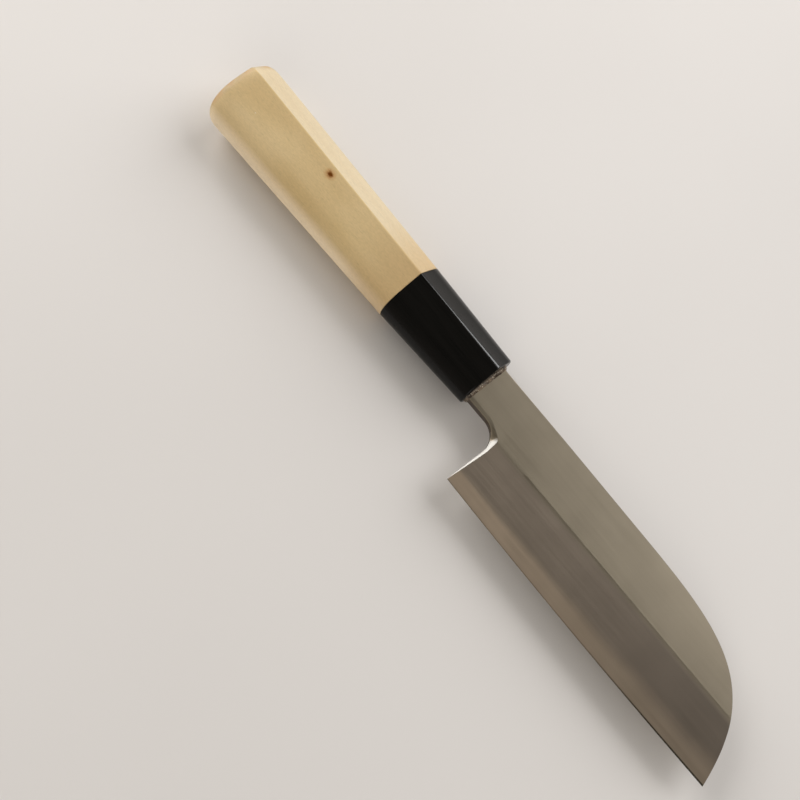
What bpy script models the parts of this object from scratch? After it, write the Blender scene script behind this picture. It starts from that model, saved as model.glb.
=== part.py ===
"""Peeling knife of the Japanese single-bevel kind, right-handed, lying on its left side.

Five separate pieces: the soft-iron body of the blade with its tang, the hard-steel plate welded
to its back, the wooden grip with its integral tenon, the black ferrule and the resin seal round
the neck. The grip and ferrule have a chestnut section: an oval with one ridge on the right side.

Working frame: +X runs from the heel of the edge to the tip, +Y from the edge to the spine and +Z
out of the bevelled face. The working origin is on the edge, under the inmost point of the choil,
and the heel's corner reaches a little behind it. The flat back of the blade lies in z = 0. A
parent empty then sets the knife so that the middle of its bounding box's bottom is the world
origin. Lengths are in metres.
"""

import math

import bmesh
import bpy
from mathutils import Vector

# Blade outline
EDGE_LENGTH = 0.105
EDGE_BELLY = 0.0006
SPINE_HEIGHT = 0.0337
SPINE_FALL = 0.0155
FRONT_START = 0.045
FRONT_SPINE_PULL = 0.0345
FRONT_TIP_PULL = 0.03255
FRONT_TIP_ANGLE = math.radians(77.2)
HEEL_LEAN = 0.00038
CHOIL_RADIUS = 0.0064
NECK_BOTTOM = 0.01945
NECK_LENGTH = 0.01485

# Blade thickness
NECK_THICKNESS = 0.0032
HEEL_THICKNESS = 0.0029
TIP_THICKNESS = 0.0016
SHINOGI_HEIGHT = 0.0178
SHINOGI_DROP = 0.0002
BEVEL_CROWN = 0.15
STEEL_THICKNESS = 0.0005
STEEL_END = 0.0015
HOLLOW_DEPTH = 0.0002
HOLLOW_RIM = 0.0020
HOLLOW_HEEL_RUN = 0.009
HOLLOW_TIP_RUN = 0.012

# Eased corners of the blade
HEEL_EASE = 0.00135
HEEL_EASE_SLOPE = 0.8
NECK_EASE = 0.0003
SPINE_EASE = 0.00055
SPINE_EASE_END = 0.012

# Tang
TANG_SEAT = 0.0040
TANG_ROOT_HEIGHT = 0.0100
TANG_END_HEIGHT = 0.0050
TANG_END_THICKNESS = 0.0020
TANG_LENGTH = 0.075

# Grip and ferrule: sections at the butt, at the seam and at the ferrule's front
GRIP_LENGTH = 0.0836
FERRULE_LENGTH = 0.03545
AXIS_HEIGHT = 0.02755
BUTT_RISE = 0.00055
BUTT_HALF_HEIGHT = 0.0132
SEAM_HALF_HEIGHT = 0.0112
FRONT_HALF_HEIGHT = 0.0098
BUTT_OVAL_HALF = 0.0089
SEAM_OVAL_HALF = 0.00775
FRONT_OVAL_HALF = 0.0068
BUTT_RIDGE_HEIGHT = 0.00985
SEAM_RIDGE_HEIGHT = 0.0089
FRONT_RIDGE_HEIGHT = 0.0078
BUTT_RIDGE_OFFSET = 0.0044
SEAM_RIDGE_OFFSET = 0.0029
FRONT_RIDGE_OFFSET = 0.0026
OVAL_DROP = 0.0006
RIDGE_ROUND = 0.0008
BUTT_ROUND = 0.0024
BUTT_ROUND_RUN = 0.0042
FRONT_ROUND = 0.0006

# Tenon, bore, mouth and seal
TENON_HALF_HEIGHT = 0.0076
TENON_HALF_THICKNESS = 0.0056
FERRULE_WALL = 0.0070
TENON_CHAMFER = 0.0006
MOUTH_FACE_GAP = 0.0009
MOUTH_SIDE_GAP = 0.0005
SEAL_DEPTH = 0.0030
SEAL_STAND = 0.0011
SEAL_ROUND = 0.00025

# Clearances
SEAT_GAP = 0.0003
TANG_GAP = 0.0003
SEAL_GAP = 0.0001
WELD_GAP = 0.00002

# Margins by which cutters pass the faces that they cut
OVERCUT = 0.003
EASE_OVERCUT = 0.001

# Facets
OVAL_STEPS = 40
RIDGE_STEPS = 4
ROUND_STEPS = 5
FRONT_STEPS = 32
ARC_STEPS = 10
HEEL_STEPS = 8
FACE_STEP = 0.005
HOLLOW_STEP = 0.0034
BEVEL_ROWS = (-0.2, 0.0, 0.15, 0.35, 0.6, 1.0)
HOLLOW_ROWS = (-1.3, -0.9, -0.6, -0.3, 0.0, 0.3, 0.6, 0.9, 1.3)
SMOOTH_ANGLE = math.radians(30)

# Finishes: base colour, roughness and metallic
SOFT_IRON = ((0.30, 0.28, 0.23), 0.42, 1.0)
HARD_STEEL = ((0.40, 0.37, 0.32), 0.30, 1.0)
MAGNOLIA = ((0.62, 0.48, 0.27), 0.62, 0.0)
BLACK_HORN = ((0.012, 0.011, 0.010), 0.22, 0.0)
GOLDEN_RESIN = ((0.33, 0.20, 0.09), 0.35, 0.0)


# Places worked out from the dimensions
FERRULE_FRONT_X = -NECK_LENGTH
SEAM_X = FERRULE_FRONT_X - FERRULE_LENGTH
BUTT_X = SEAM_X - GRIP_LENGTH
NECK_MID_Z = NECK_THICKNESS / 2
TANG_END_X = FERRULE_FRONT_X - TANG_LENGTH
CHOIL_BASE = NECK_BOTTOM - CHOIL_RADIUS
EDGE_RADIUS = (EDGE_LENGTH / 2) ** 2 / (2 * EDGE_BELLY) + EDGE_BELLY / 2


def spine_y(x):
    """Height of the straight part of the spine."""
    return SPINE_HEIGHT - SPINE_FALL * x


def edge_y(x):
    """The edge bows out between heel and tip on one shallow arc."""
    from_middle = x - EDGE_LENGTH / 2
    centre_y = EDGE_RADIUS - EDGE_BELLY
    return centre_y - math.sqrt(EDGE_RADIUS ** 2 - from_middle ** 2)


def spine_z(x):
    """Thickness at the spine: neck to heel, then a long taper to the tip."""
    if x <= 0:
        share = min(1.0, -x / NECK_LENGTH)
        return HEEL_THICKNESS + (NECK_THICKNESS - HEEL_THICKNESS) * share
    return HEEL_THICKNESS + (TIP_THICKNESS - HEEL_THICKNESS) * x / EDGE_LENGTH


def shinogi_z(x):
    """Thickness at the line between the flat and the wide bevel."""
    return spine_z(x) - SHINOGI_DROP


def tang_z(x):
    """Thickness of the tang, which thins from the neck to its end."""
    share = min(1.0, max(0.0, (FERRULE_FRONT_X - x) / TANG_LENGTH))
    return NECK_THICKNESS + (TANG_END_THICKNESS - NECK_THICKNESS) * share


def bevel_z(x, y):
    """Height of the right face above the flat back, over the bevel and the flat."""
    if y >= SHINOGI_HEIGHT:
        rise = (y - SHINOGI_HEIGHT) / (spine_y(x) - SHINOGI_HEIGHT)
        return shinogi_z(x) + SHINOGI_DROP * rise
    share = (y - edge_y(x)) / (SHINOGI_HEIGHT - edge_y(x))
    crown = BEVEL_CROWN * share * (1 - share) if share > 0 else BEVEL_CROWN * share
    return shinogi_z(x) * (share + crown)


def front_curve():
    """The spine's turn down to the tip, one cubic curve from the spine's straight part."""
    start = Vector((FRONT_START, spine_y(FRONT_START)))
    tip = Vector((EDGE_LENGTH, 0.0))
    along_spine = Vector((1.0, -SPINE_FALL)).normalized()
    out_of_tip = Vector((-math.cos(FRONT_TIP_ANGLE), math.sin(FRONT_TIP_ANGLE)))
    second = start + along_spine * FRONT_SPINE_PULL
    third = tip + out_of_tip * FRONT_TIP_PULL
    points = []
    for i in range(FRONT_STEPS + 1):
        t = i / FRONT_STEPS
        u = 1 - t
        points.append(u ** 3 * start + 3 * u * u * t * second + 3 * u * t * t * third
                      + t ** 3 * tip)
    return points, -out_of_tip


def heel_point(y):
    """Point of the heel line at height y: it leans, so that its corner reaches back."""
    return Vector((-HEEL_LEAN * (1 - y / CHOIL_BASE), y))


def heel_inward():
    """Direction from the heel line into the blade."""
    return Vector((CHOIL_BASE, -HEEL_LEAN)).normalized()


def choil_curve():
    """The wide fillet between the heel line and the neck's underside."""
    points = []
    for i in range(ARC_STEPS + 1):
        angle = math.pi / 2 * i / ARC_STEPS
        points.append(Vector((CHOIL_RADIUS * (math.cos(angle) - 1),
                              CHOIL_BASE + CHOIL_RADIUS * math.sin(angle))))
    return points


def tang_mid_y():
    """Middle height of the tang, at the middle of the neck."""
    return (NECK_BOTTOM + spine_y(FERRULE_FRONT_X)) / 2


def blade_outline():
    """Plan of the whole blade and tang, anticlockwise seen from +Z, open past the edge."""
    front, tip_run = front_curve()
    shoulder_x = FERRULE_FRONT_X - TANG_SEAT
    mid = tang_mid_y()
    points = [heel_point(-OVERCUT), front[-1] + tip_run * OVERCUT]
    points += list(reversed(front))
    points += [Vector((shoulder_x, spine_y(shoulder_x))),
               Vector((shoulder_x, mid + TANG_ROOT_HEIGHT / 2)),
               Vector((TANG_END_X, mid + TANG_END_HEIGHT / 2)),
               Vector((TANG_END_X, mid - TANG_END_HEIGHT / 2)),
               Vector((shoulder_x, mid - TANG_ROOT_HEIGHT / 2)),
               Vector((shoulder_x, NECK_BOTTOM))]
    points += list(reversed(choil_curve()))
    return points + [heel_point(CHOIL_BASE * (1 - i / HEEL_STEPS))
                     for i in range(1, HEEL_STEPS + 1)]


# Scene helpers

def clear_scene():
    for item in list(bpy.data.objects):
        bpy.data.objects.remove(item, do_unlink=True)


def make_collection(name):
    collection = bpy.data.collections.new(name)
    bpy.context.scene.collection.children.link(collection)
    return collection


def make_material(name, finish):
    colour, roughness, metallic = finish
    material = bpy.data.materials.new(name)
    material.use_nodes = True
    shader = material.node_tree.nodes["Principled BSDF"]
    shader.inputs["Base Color"].default_value = (*colour, 1.0)
    shader.inputs["Roughness"].default_value = roughness
    shader.inputs["Metallic"].default_value = metallic
    return material


def add_object(name, mesh, collection, location=(0.0, 0.0, 0.0)):
    item = bpy.data.objects.new(name, mesh)
    item.location = location
    collection.objects.link(item)
    return item


def finish_mesh(bm, name):
    """Close up a bmesh: face normals outwards, then to a mesh."""
    bmesh.ops.recalc_face_normals(bm, faces=bm.faces)
    mesh = bpy.data.meshes.new(name)
    bm.to_mesh(mesh)
    bm.free()
    return mesh


def loft(name, rings):
    """Skin a list of rings with equal point counts and cap both ends."""
    bm = bmesh.new()
    rows = [[bm.verts.new(point) for point in ring] for ring in rings]
    count = len(rings[0])
    for lower, upper in zip(rows, rows[1:]):
        for i in range(count):
            j = (i + 1) % count
            bm.faces.new((lower[i], lower[j], upper[j], upper[i]))
    bm.faces.new(rows[0])
    bm.faces.new(rows[-1])
    return finish_mesh(bm, name)


def loft_fine(name, rings):
    """A loft whose twisted quads are split, for a cutter that has to stay exact."""
    mesh = loft(name, rings)
    bm = bmesh.new()
    bm.from_mesh(mesh)
    bmesh.ops.triangulate(bm, faces=bm.faces)
    bpy.data.meshes.remove(mesh)
    return finish_mesh(bm, name)


def plate_from_outline(name, outline, low, high, collection):
    """Extrude a filled 2D curve between two heights and make it a welded mesh."""
    curve = bpy.data.curves.new(name, "CURVE")
    curve.dimensions = "2D"
    curve.fill_mode = "BOTH"
    curve.extrude = (high - low) / 2
    spline = curve.splines.new("POLY")
    spline.points.add(len(outline) - 1)
    for point, place in zip(spline.points, outline):
        point.co = (place.x, place.y, 0.0, 1.0)
    spline.use_cyclic_u = True
    source = add_object(name + "_curve", curve, collection, (0.0, 0.0, (low + high) / 2))
    bpy.context.view_layer.update()
    evaluated = source.evaluated_get(bpy.context.evaluated_depsgraph_get())
    mesh = bpy.data.meshes.new_from_object(evaluated)
    mesh.transform(source.matrix_world)
    bpy.data.objects.remove(source, do_unlink=True)
    bpy.data.curves.remove(curve)
    bm = bmesh.new()
    bm.from_mesh(mesh)
    bmesh.ops.remove_doubles(bm, verts=bm.verts, dist=1e-7)
    bpy.data.meshes.remove(mesh)
    return finish_mesh(bm, name)


def box_mesh(name, low, high):
    """A cube primitive set between two corners."""
    bm = bmesh.new()
    bmesh.ops.create_cube(bm, size=1.0)
    size = Vector(high) - Vector(low)
    middle = (Vector(high) + Vector(low)) / 2
    bmesh.ops.scale(bm, vec=size, verts=bm.verts)
    bmesh.ops.translate(bm, vec=middle, verts=bm.verts)
    return finish_mesh(bm, name)


def add_cutter(name, mesh, collection):
    cutter = add_object(name, mesh, collection)
    cutter.hide_render = True
    cutter.display_type = "WIRE"
    return cutter


def boolean(item, operation, cutter):
    modifier = item.modifiers.new(cutter.name, "BOOLEAN")
    modifier.operation = operation
    modifier.object = cutter
    modifier.solver = "EXACT"
    return modifier


# Sections of the grip and ferrule

def chestnut_ring(x, half_height, oval_half, ridge_height, ridge_offset, inset=0.0):
    """One ring of the chestnut section: an oval with flats that run from a ridge, tangent to it.

    The ring lies at x, and y and z are measured from the grip's axis. An inset draws the whole
    section in, for rounded ends.
    """
    across = half_height - inset
    depth = oval_half - inset
    reach = 1 - inset / ridge_height
    ridge = Vector((ridge_offset * reach, ridge_height * reach))
    scaled = Vector((ridge.x / across, (ridge.y + OVAL_DROP) / depth))
    facing = math.atan2(scaled.y, scaled.x)
    opening = math.acos(1 / scaled.length)
    first = facing + opening
    last = facing - opening + 2 * math.pi
    points = []
    for i in range(OVAL_STEPS + 1):
        angle = first + (last - first) * i / OVAL_STEPS
        points.append(Vector((across * math.cos(angle), depth * math.sin(angle) - OVAL_DROP)))
    to_last = (points[-1] - ridge).normalized()
    to_first = (points[0] - ridge).normalized()
    half_angle = to_last.angle(to_first) / 2
    run = RIDGE_ROUND / math.tan(half_angle)
    centre = ridge + (to_last + to_first).normalized() * (RIDGE_ROUND / math.sin(half_angle))
    start = ridge + to_last * run - centre
    end = ridge + to_first * run - centre
    sweep = start.angle_signed(end)
    for i in range(RIDGE_STEPS + 1):
        turn = -sweep * i / RIDGE_STEPS
        points.append(centre + Vector((start.x * math.cos(turn) - start.y * math.sin(turn),
                                       start.x * math.sin(turn) + start.y * math.cos(turn))))
    return [Vector((x, point.x, point.y)) for point in points]


def butt_ring(x, inset=0.0):
    """A ring at the butt, which stands a little nearer the spine's side than the seam."""
    ring = chestnut_ring(x, BUTT_HALF_HEIGHT, BUTT_OVAL_HALF, BUTT_RIDGE_HEIGHT,
                         BUTT_RIDGE_OFFSET, inset)
    return [point + Vector((0.0, BUTT_RISE, 0.0)) for point in ring]


def seam_ring(x):
    return chestnut_ring(x, SEAM_HALF_HEIGHT, SEAM_OVAL_HALF, SEAM_RIDGE_HEIGHT,
                         SEAM_RIDGE_OFFSET)


def front_ring(x, inset=0.0):
    return chestnut_ring(x, FRONT_HALF_HEIGHT, FRONT_OVAL_HALF, FRONT_RIDGE_HEIGHT,
                         FRONT_RIDGE_OFFSET, inset)


def oval_ring(x, half_height, half_thickness, like):
    """An oval ring at x whose points lie at the same bearings as the ring that it follows."""
    ring = []
    for point in like:
        bearing = math.atan2(point.z / half_thickness, point.y / half_height)
        ring.append(Vector((x, half_height * math.cos(bearing),
                            half_thickness * math.sin(bearing))))
    return ring


def rect_ring(x, low_y, high_y, low_z, high_z):
    return [Vector((x, low_y, low_z)), Vector((x, high_y, low_z)),
            Vector((x, high_y, high_z)), Vector((x, low_y, high_z))]


# Cutters

def face_cutter(cutters):
    """All that lies above the right face: bevel, flat and the thinning tang."""
    top = NECK_THICKNESS + 2 * OVERCUT
    rings = []
    row_count = len(BEVEL_ROWS) + 1
    for x in (TANG_END_X - OVERCUT, FERRULE_FRONT_X):
        low = edge_y(0.0) - OVERCUT
        high = spine_y(x) + OVERCUT
        ring = [Vector((x, low + (high - low) * i / (row_count - 1), tang_z(x)))
                for i in range(row_count)]
        rings.append(ring + [Vector((x, high, top)), Vector((x, low, top))])
    start = -STEEL_END
    run = EDGE_LENGTH + OVERCUT - start
    count = math.ceil(run / FACE_STEP)
    for i in range(count + 1):
        x = start + run * i / count
        ring = [Vector((x, y, bevel_z(x, y))) for y in face_heights(x)]
        rings.append(ring + [Vector((x, ring[-1].y, top)), Vector((x, ring[0].y, top))])
    return add_cutter("face_cutter", loft_fine("face_cutter", rings), cutters)


def face_heights(x):
    """Heights of the rows across the blade at x: past the edge, over the bevel, past the spine."""
    low = edge_y(x)
    heights = [low + (SHINOGI_HEIGHT - low) * share for share in BEVEL_ROWS]
    return heights + [spine_y(x) + OVERCUT]


def hollow_cutter(cutters):
    """The dish ground in the back, shallow and long, inside a flat rim."""
    front, _ = front_curve()
    start = HOLLOW_RIM
    stop = EDGE_LENGTH - 2 * HOLLOW_RIM
    count = math.ceil((stop - start) / HOLLOW_STEP)
    rings = []
    for i in range(count + 1):
        x = start + (stop - start) * i / count
        top_y = top_of_blade(x, front) - HOLLOW_RIM
        low_y = edge_y(x) + HOLLOW_RIM
        middle = (top_y + low_y) / 2
        half = max(top_y - low_y, HOLLOW_RIM) / 2
        near_heel = max(0.0, 1 - (x - start) / HOLLOW_HEEL_RUN)
        near_tip = max(0.0, 1 - (stop - x) / HOLLOW_TIP_RUN)
        fall = near_heel ** 2 + near_tip ** 2
        ring = [Vector((x, middle + half * row, HOLLOW_DEPTH * (1 - row * row - fall)))
                for row in HOLLOW_ROWS]
        rings.append(ring + [Vector((x, ring[-1].y, -OVERCUT)), Vector((x, ring[0].y, -OVERCUT))])
    return add_cutter("hollow_cutter", loft_fine("hollow_cutter", rings), cutters)


def top_of_blade(x, front):
    """Height of the spine or of the front curve at x."""
    if x <= front[0].x:
        return spine_y(x)
    for before, after in zip(front, front[1:]):
        if before.x <= x <= after.x:
            share = (x - before.x) / (after.x - before.x)
            return before.y + (after.y - before.y) * share
    return front[-1].y


def ease_cutter(name, path, cutters):
    """A three-sided bar that eases an upper corner of the blade along a path.

    Each station of the path gives a point, the direction into the blade, the face's height, the
    width taken off the face and the slope of the eased face.
    """
    rings = []
    for place, inward, height, width, slope in path:
        run = Vector((1.0, slope)).normalized()
        inner = Vector((width, height)) + run * EASE_OVERCUT
        outer = Vector((0.0, height - slope * width)) - run * EASE_OVERCUT
        ring = [outer, inner, Vector((outer.x, inner.y))]
        rings.append([Vector((place.x + inward.x * point.x, place.y + inward.y * point.x, point.y))
                      for point in ring])
    return add_cutter(name, loft_fine(name, rings), cutters)


def heel_ease_cutter(cutters):
    """The heel's sloping face, widest at the choil and running out under the neck."""
    path = []
    arc = choil_curve()
    full = shinogi_z(0.0)
    for i in range(HEEL_STEPS):
        y = -EASE_OVERCUT + (arc[0].y + EASE_OVERCUT) * i / HEEL_STEPS
        height = max(bevel_z(0.0, y), -STEEL_THICKNESS / 2)
        width = HEEL_EASE * height / full
        path.append((heel_point(y), heel_inward(), height, width, HEEL_EASE_SLOPE))
    for i, place in enumerate(arc):
        share = i / ARC_STEPS
        eased = share * share * (3 - 2 * share)
        angle = math.pi / 2 * share
        inward = Vector((math.cos(angle), math.sin(angle)))
        height = bevel_z(0.0, place.y)
        width = HEEL_EASE + (NECK_EASE - HEEL_EASE) * eased
        slope = HEEL_EASE_SLOPE + (1.0 - HEEL_EASE_SLOPE) * eased
        path.append((place, inward, height, width, slope))
    straight_up = Vector((0.0, 1.0))
    end = Vector((FERRULE_FRONT_X - TANG_SEAT - EASE_OVERCUT, NECK_BOTTOM))
    path.append((end, straight_up, spine_z(end.x), NECK_EASE, 1.0))
    return ease_cutter("heel_ease_cutter", path, cutters)


def spine_ease_cutter(cutters):
    """The spine's eased corner, widest at the ferrule and running out past the heel."""
    down = Vector((-SPINE_FALL, -1.0)).normalized()
    start_x = FERRULE_FRONT_X - TANG_SEAT - EASE_OVERCUT
    stop_x = SPINE_EASE_END + OVERCUT
    path = []
    for x in (start_x, FERRULE_FRONT_X, 0.0, stop_x):
        place = Vector((x, spine_y(x)))
        width = SPINE_EASE * (SPINE_EASE_END - x) / (SPINE_EASE_END - start_x)
        path.append((place, down, spine_z(x), width, 1.0))
    return ease_cutter("spine_ease_cutter", path, cutters)


def tang_cutter(cutters):
    """The slot burnt for the tang, a clearance larger than it all round."""
    mid = tang_mid_y() - AXIS_HEIGHT
    rings = []
    shoulder_x = FERRULE_FRONT_X - TANG_SEAT
    for x, height in ((TANG_END_X - TANG_GAP, TANG_END_HEIGHT), (shoulder_x, TANG_ROOT_HEIGHT)):
        half = height / 2 + TANG_GAP
        rings.append(rect_ring(x, mid - half, mid + half, -TANG_GAP - NECK_MID_Z,
                               tang_z(x) + TANG_GAP - NECK_MID_Z))
    return add_cutter("tang_cutter", loft("tang_cutter", rings), cutters)


# The five pieces

def build_blade(parts, cutters, parent):
    outline = blade_outline()
    plan_top = NECK_THICKNESS + OVERCUT
    face = face_cutter(cutters)
    hollow = hollow_cutter(cutters)
    heel_ease = heel_ease_cutter(cutters)
    spine_ease = spine_ease_cutter(cutters)
    far = Vector((EDGE_LENGTH + OVERCUT, spine_y(FERRULE_FRONT_X) + OVERCUT, STEEL_THICKNESS))
    near = Vector((-STEEL_END, edge_y(0.0) - 3 * OVERCUT, -OVERCUT))
    gap = Vector((WELD_GAP, 0.0, 0.0))
    lift = Vector((0.0, 0.0, WELD_GAP))
    steel_room = add_cutter("steel_room", box_mesh("steel_room", near, far), cutters)
    iron_room = add_cutter("iron_room", box_mesh("iron_room", near - gap, far + lift), cutters)

    iron = add_object("blade_iron",
                      plate_from_outline("blade_iron", outline, 0.0, plan_top, parts), parts)
    iron.data.materials.append(make_material("soft_iron", SOFT_IRON))
    boolean(iron, "DIFFERENCE", face)
    boolean(iron, "DIFFERENCE", iron_room)
    boolean(iron, "DIFFERENCE", heel_ease)
    boolean(iron, "DIFFERENCE", spine_ease)

    steel = add_object("blade_steel",
                       plate_from_outline("blade_steel", outline, 0.0, plan_top, parts), parts)
    steel.data.materials.append(make_material("hard_steel", HARD_STEEL))
    boolean(steel, "INTERSECT", steel_room)
    boolean(steel, "DIFFERENCE", face)
    boolean(steel, "DIFFERENCE", hollow)
    boolean(steel, "DIFFERENCE", heel_ease)

    for item in (iron, steel, face, hollow, heel_ease, spine_ease, steel_room, iron_room):
        item.parent = parent


def build_handle_wood(parts, parent, tang_slot):
    rings = []
    for i in range(ROUND_STEPS + 1):
        angle = math.pi / 2 * i / ROUND_STEPS
        x = BUTT_X + BUTT_ROUND_RUN * (1 - math.sin(angle))
        rings.append(butt_ring(x, BUTT_ROUND * (1 - math.cos(angle))))
    rings.reverse()
    tenon_end = tenon_end_x()
    seam = seam_ring(SEAM_X)
    rings.append(seam)
    rings.append(oval_ring(SEAM_X, TENON_HALF_HEIGHT, TENON_HALF_THICKNESS, seam))
    rings.append(oval_ring(tenon_end - TENON_CHAMFER, TENON_HALF_HEIGHT, TENON_HALF_THICKNESS,
                           seam))
    rings.append(oval_ring(tenon_end, TENON_HALF_HEIGHT - TENON_CHAMFER,
                           TENON_HALF_THICKNESS - TENON_CHAMFER, seam))
    wood = add_object("handle_wood", loft("handle_wood", rings), parts)
    wood.parent = parent
    wood.data.materials.append(make_material("magnolia", MAGNOLIA))
    boolean(wood, "DIFFERENCE", tang_slot)
    shade_round(wood)


def tenon_end_x():
    return FERRULE_FRONT_X - FERRULE_WALL - SEAT_GAP


def build_ferrule(parts, cutters, parent, tang_slot):
    rings = [seam_ring(SEAM_X + SEAT_GAP)]
    for i in range(ROUND_STEPS + 1):
        angle = math.pi / 2 * i / ROUND_STEPS
        x = FERRULE_FRONT_X - FRONT_ROUND * (1 - math.sin(angle))
        rings.append(front_ring(x, FRONT_ROUND * (1 - math.cos(angle))))
    ferrule = add_object("ferrule", loft("ferrule", rings), parts)
    ferrule.parent = parent
    ferrule.data.materials.append(make_material("black_horn", BLACK_HORN))

    bore_height = TENON_HALF_HEIGHT + SEAT_GAP
    bore_thickness = TENON_HALF_THICKNESS + SEAT_GAP
    bore_rings = [oval_ring(x, bore_height, bore_thickness, seam_ring(x))
                  for x in (SEAM_X - OVERCUT, FERRULE_FRONT_X - FERRULE_WALL)]
    bore = add_cutter("tenon_bore", loft("tenon_bore", bore_rings), cutters)
    slot = neck_cutter("neck_slot", TANG_SEAT + TANG_GAP, TANG_GAP, TANG_GAP, cutters)
    mouth = neck_cutter("mouth_pocket", SEAL_DEPTH + SEAL_GAP, MOUTH_SIDE_GAP, MOUTH_FACE_GAP,
                        cutters)
    for cutter in (bore, slot, mouth):
        cutter.parent = parent
        boolean(ferrule, "DIFFERENCE", cutter)
    boolean(ferrule, "DIFFERENCE", tang_slot)
    shade_round(ferrule)


def neck_ring(x, side, face):
    """The neck's outline at x, with a gap past its sides and one over its faces."""
    return rect_ring(x, NECK_BOTTOM - side - AXIS_HEIGHT, spine_y(x) + side - AXIS_HEIGHT,
                     -face - NECK_MID_Z, NECK_MID_Z + face)


def neck_cutter(name, depth, side, face, cutters):
    """A slot of the neck's own outline, with its gaps, from past the mouth to a depth."""
    rings = [neck_ring(FERRULE_FRONT_X - depth, side, face),
             neck_ring(FERRULE_FRONT_X + OVERCUT, side, face)]
    return add_cutter(name, loft(name, rings), cutters)


def build_tang_seal(parts, cutters, parent):
    side = MOUTH_SIDE_GAP - SEAL_GAP
    face = MOUTH_FACE_GAP - SEAL_GAP
    rings = [neck_ring(FERRULE_FRONT_X - SEAL_DEPTH, side, face),
             neck_ring(FERRULE_FRONT_X + SEAL_STAND, side, face)]
    seal = add_object("tang_seal", loft("tang_seal", rings), parts)
    seal.parent = parent
    seal.data.materials.append(make_material("golden_resin", GOLDEN_RESIN))
    rounding = seal.modifiers.new("rounding", "BEVEL")
    rounding.width = SEAL_ROUND
    rounding.segments = 2
    passage = neck_cutter("seal_passage", SEAL_DEPTH + OVERCUT, SEAL_GAP, SEAL_GAP, cutters)
    passage.parent = parent
    boolean(seal, "DIFFERENCE", passage)


def shade_round(item):
    item.data.shade_smooth()
    item.data.set_sharp_from_angle(angle=SMOOTH_ANGLE)


def knife_offset():
    """Shift that puts the middle of the bounding box's bottom at the world origin."""
    butt = butt_ring(BUTT_X + BUTT_ROUND_RUN)
    low_z = min(point.z for point in butt) + NECK_MID_Z
    high_y = max(point.y for point in butt) + AXIS_HEIGHT
    low_y = edge_y(EDGE_LENGTH / 2)
    return Vector((-(BUTT_X + EDGE_LENGTH) / 2, -(low_y + high_y) / 2, -low_z))


def main():
    clear_scene()
    parts = make_collection("peeling_knife")
    cutters = make_collection("cutters")
    knife = add_object("knife", None, parts, knife_offset())
    grip_axis = add_object("grip_axis", None, parts, (0.0, AXIS_HEIGHT, NECK_MID_Z))
    grip_axis.parent = knife
    build_blade(parts, cutters, knife)
    tang_slot = tang_cutter(cutters)
    tang_slot.parent = grip_axis
    build_handle_wood(parts, grip_axis, tang_slot)
    build_ferrule(parts, cutters, grip_axis, tang_slot)
    build_tang_seal(parts, cutters, grip_axis)
    bpy.context.view_layer.update()


main()
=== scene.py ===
"""Looks of the peeling knife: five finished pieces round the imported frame, on a pale table.

Lengths are in metres. Every piece is modelled in the knife's own axes, with the heel corner of the
edge as origin, +X to the tip, +Y to the spine and +Z out of the bevelled face, and is then set
where the frame has the heel corner.
"""

import math

import bmesh
import bpy
from mathutils import Matrix, Vector


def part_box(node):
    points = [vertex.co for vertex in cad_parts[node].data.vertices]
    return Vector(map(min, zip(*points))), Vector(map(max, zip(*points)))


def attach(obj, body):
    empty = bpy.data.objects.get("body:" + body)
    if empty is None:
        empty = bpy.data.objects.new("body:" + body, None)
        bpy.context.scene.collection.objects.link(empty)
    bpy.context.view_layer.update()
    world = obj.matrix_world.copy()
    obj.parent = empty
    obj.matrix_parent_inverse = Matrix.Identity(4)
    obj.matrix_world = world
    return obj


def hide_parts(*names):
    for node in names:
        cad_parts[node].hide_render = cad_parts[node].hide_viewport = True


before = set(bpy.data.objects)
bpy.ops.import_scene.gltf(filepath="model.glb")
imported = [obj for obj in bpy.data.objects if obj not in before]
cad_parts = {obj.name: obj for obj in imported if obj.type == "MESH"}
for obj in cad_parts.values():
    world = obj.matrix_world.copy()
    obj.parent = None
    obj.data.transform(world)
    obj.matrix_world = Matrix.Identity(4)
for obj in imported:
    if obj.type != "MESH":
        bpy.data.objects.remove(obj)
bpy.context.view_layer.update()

# Blade outline
EDGE_LENGTH = 0.105
EDGE_BELLY = 0.0006
SPINE_HEIGHT = 0.0337
SPINE_FALL = 0.0155
FRONT_START = 0.045
FRONT_SPINE_PULL = 0.0345
FRONT_TIP_PULL = 0.03255
FRONT_TIP_ANGLE = math.radians(77.2)
HEEL_LEAN = 0.00038
CHOIL_RADIUS = 0.0064
NECK_BOTTOM = 0.01945
NECK_LENGTH = 0.01485

# Blade thickness
NECK_THICKNESS = 0.0032
HEEL_THICKNESS = 0.0029
TIP_THICKNESS = 0.0016
SHINOGI_HEIGHT = 0.0178
SHINOGI_DROP = 0.0002
SHINOGI_SOFT_END = 0.011
BEVEL_CROWN = 0.15
STEEL_THICKNESS = 0.0005
STEEL_END = 0.0015
HOLLOW_DEPTH = 0.0002
HOLLOW_RIM = 0.0020
HOLLOW_HEEL_RUN = 0.009
HOLLOW_TIP_RUN = 0.012

# Eased corners of the blade
HEEL_STRIPS = (0.00028, 0.00050, 0.00040)
HEEL_SLOPES = (1.25, 0.75, 0.45)
NECK_STRIPS = (0.00009, 0.00013, 0.00085)
NECK_SLOPES = (2.20, 0.90, 0.09)
EASE_LEAST = 0.02
FAN_PLACE = 0.42
FAN_WIDTH = 0.16
FAN_GROWTH = 0.6
SPINE_SLOPES = (1.60, 1.00, 0.60)
TURN_START = 0.28
TURN_END = 0.92
SPINE_EASE = 0.00055
SPINE_EASE_END = 0.012

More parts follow.
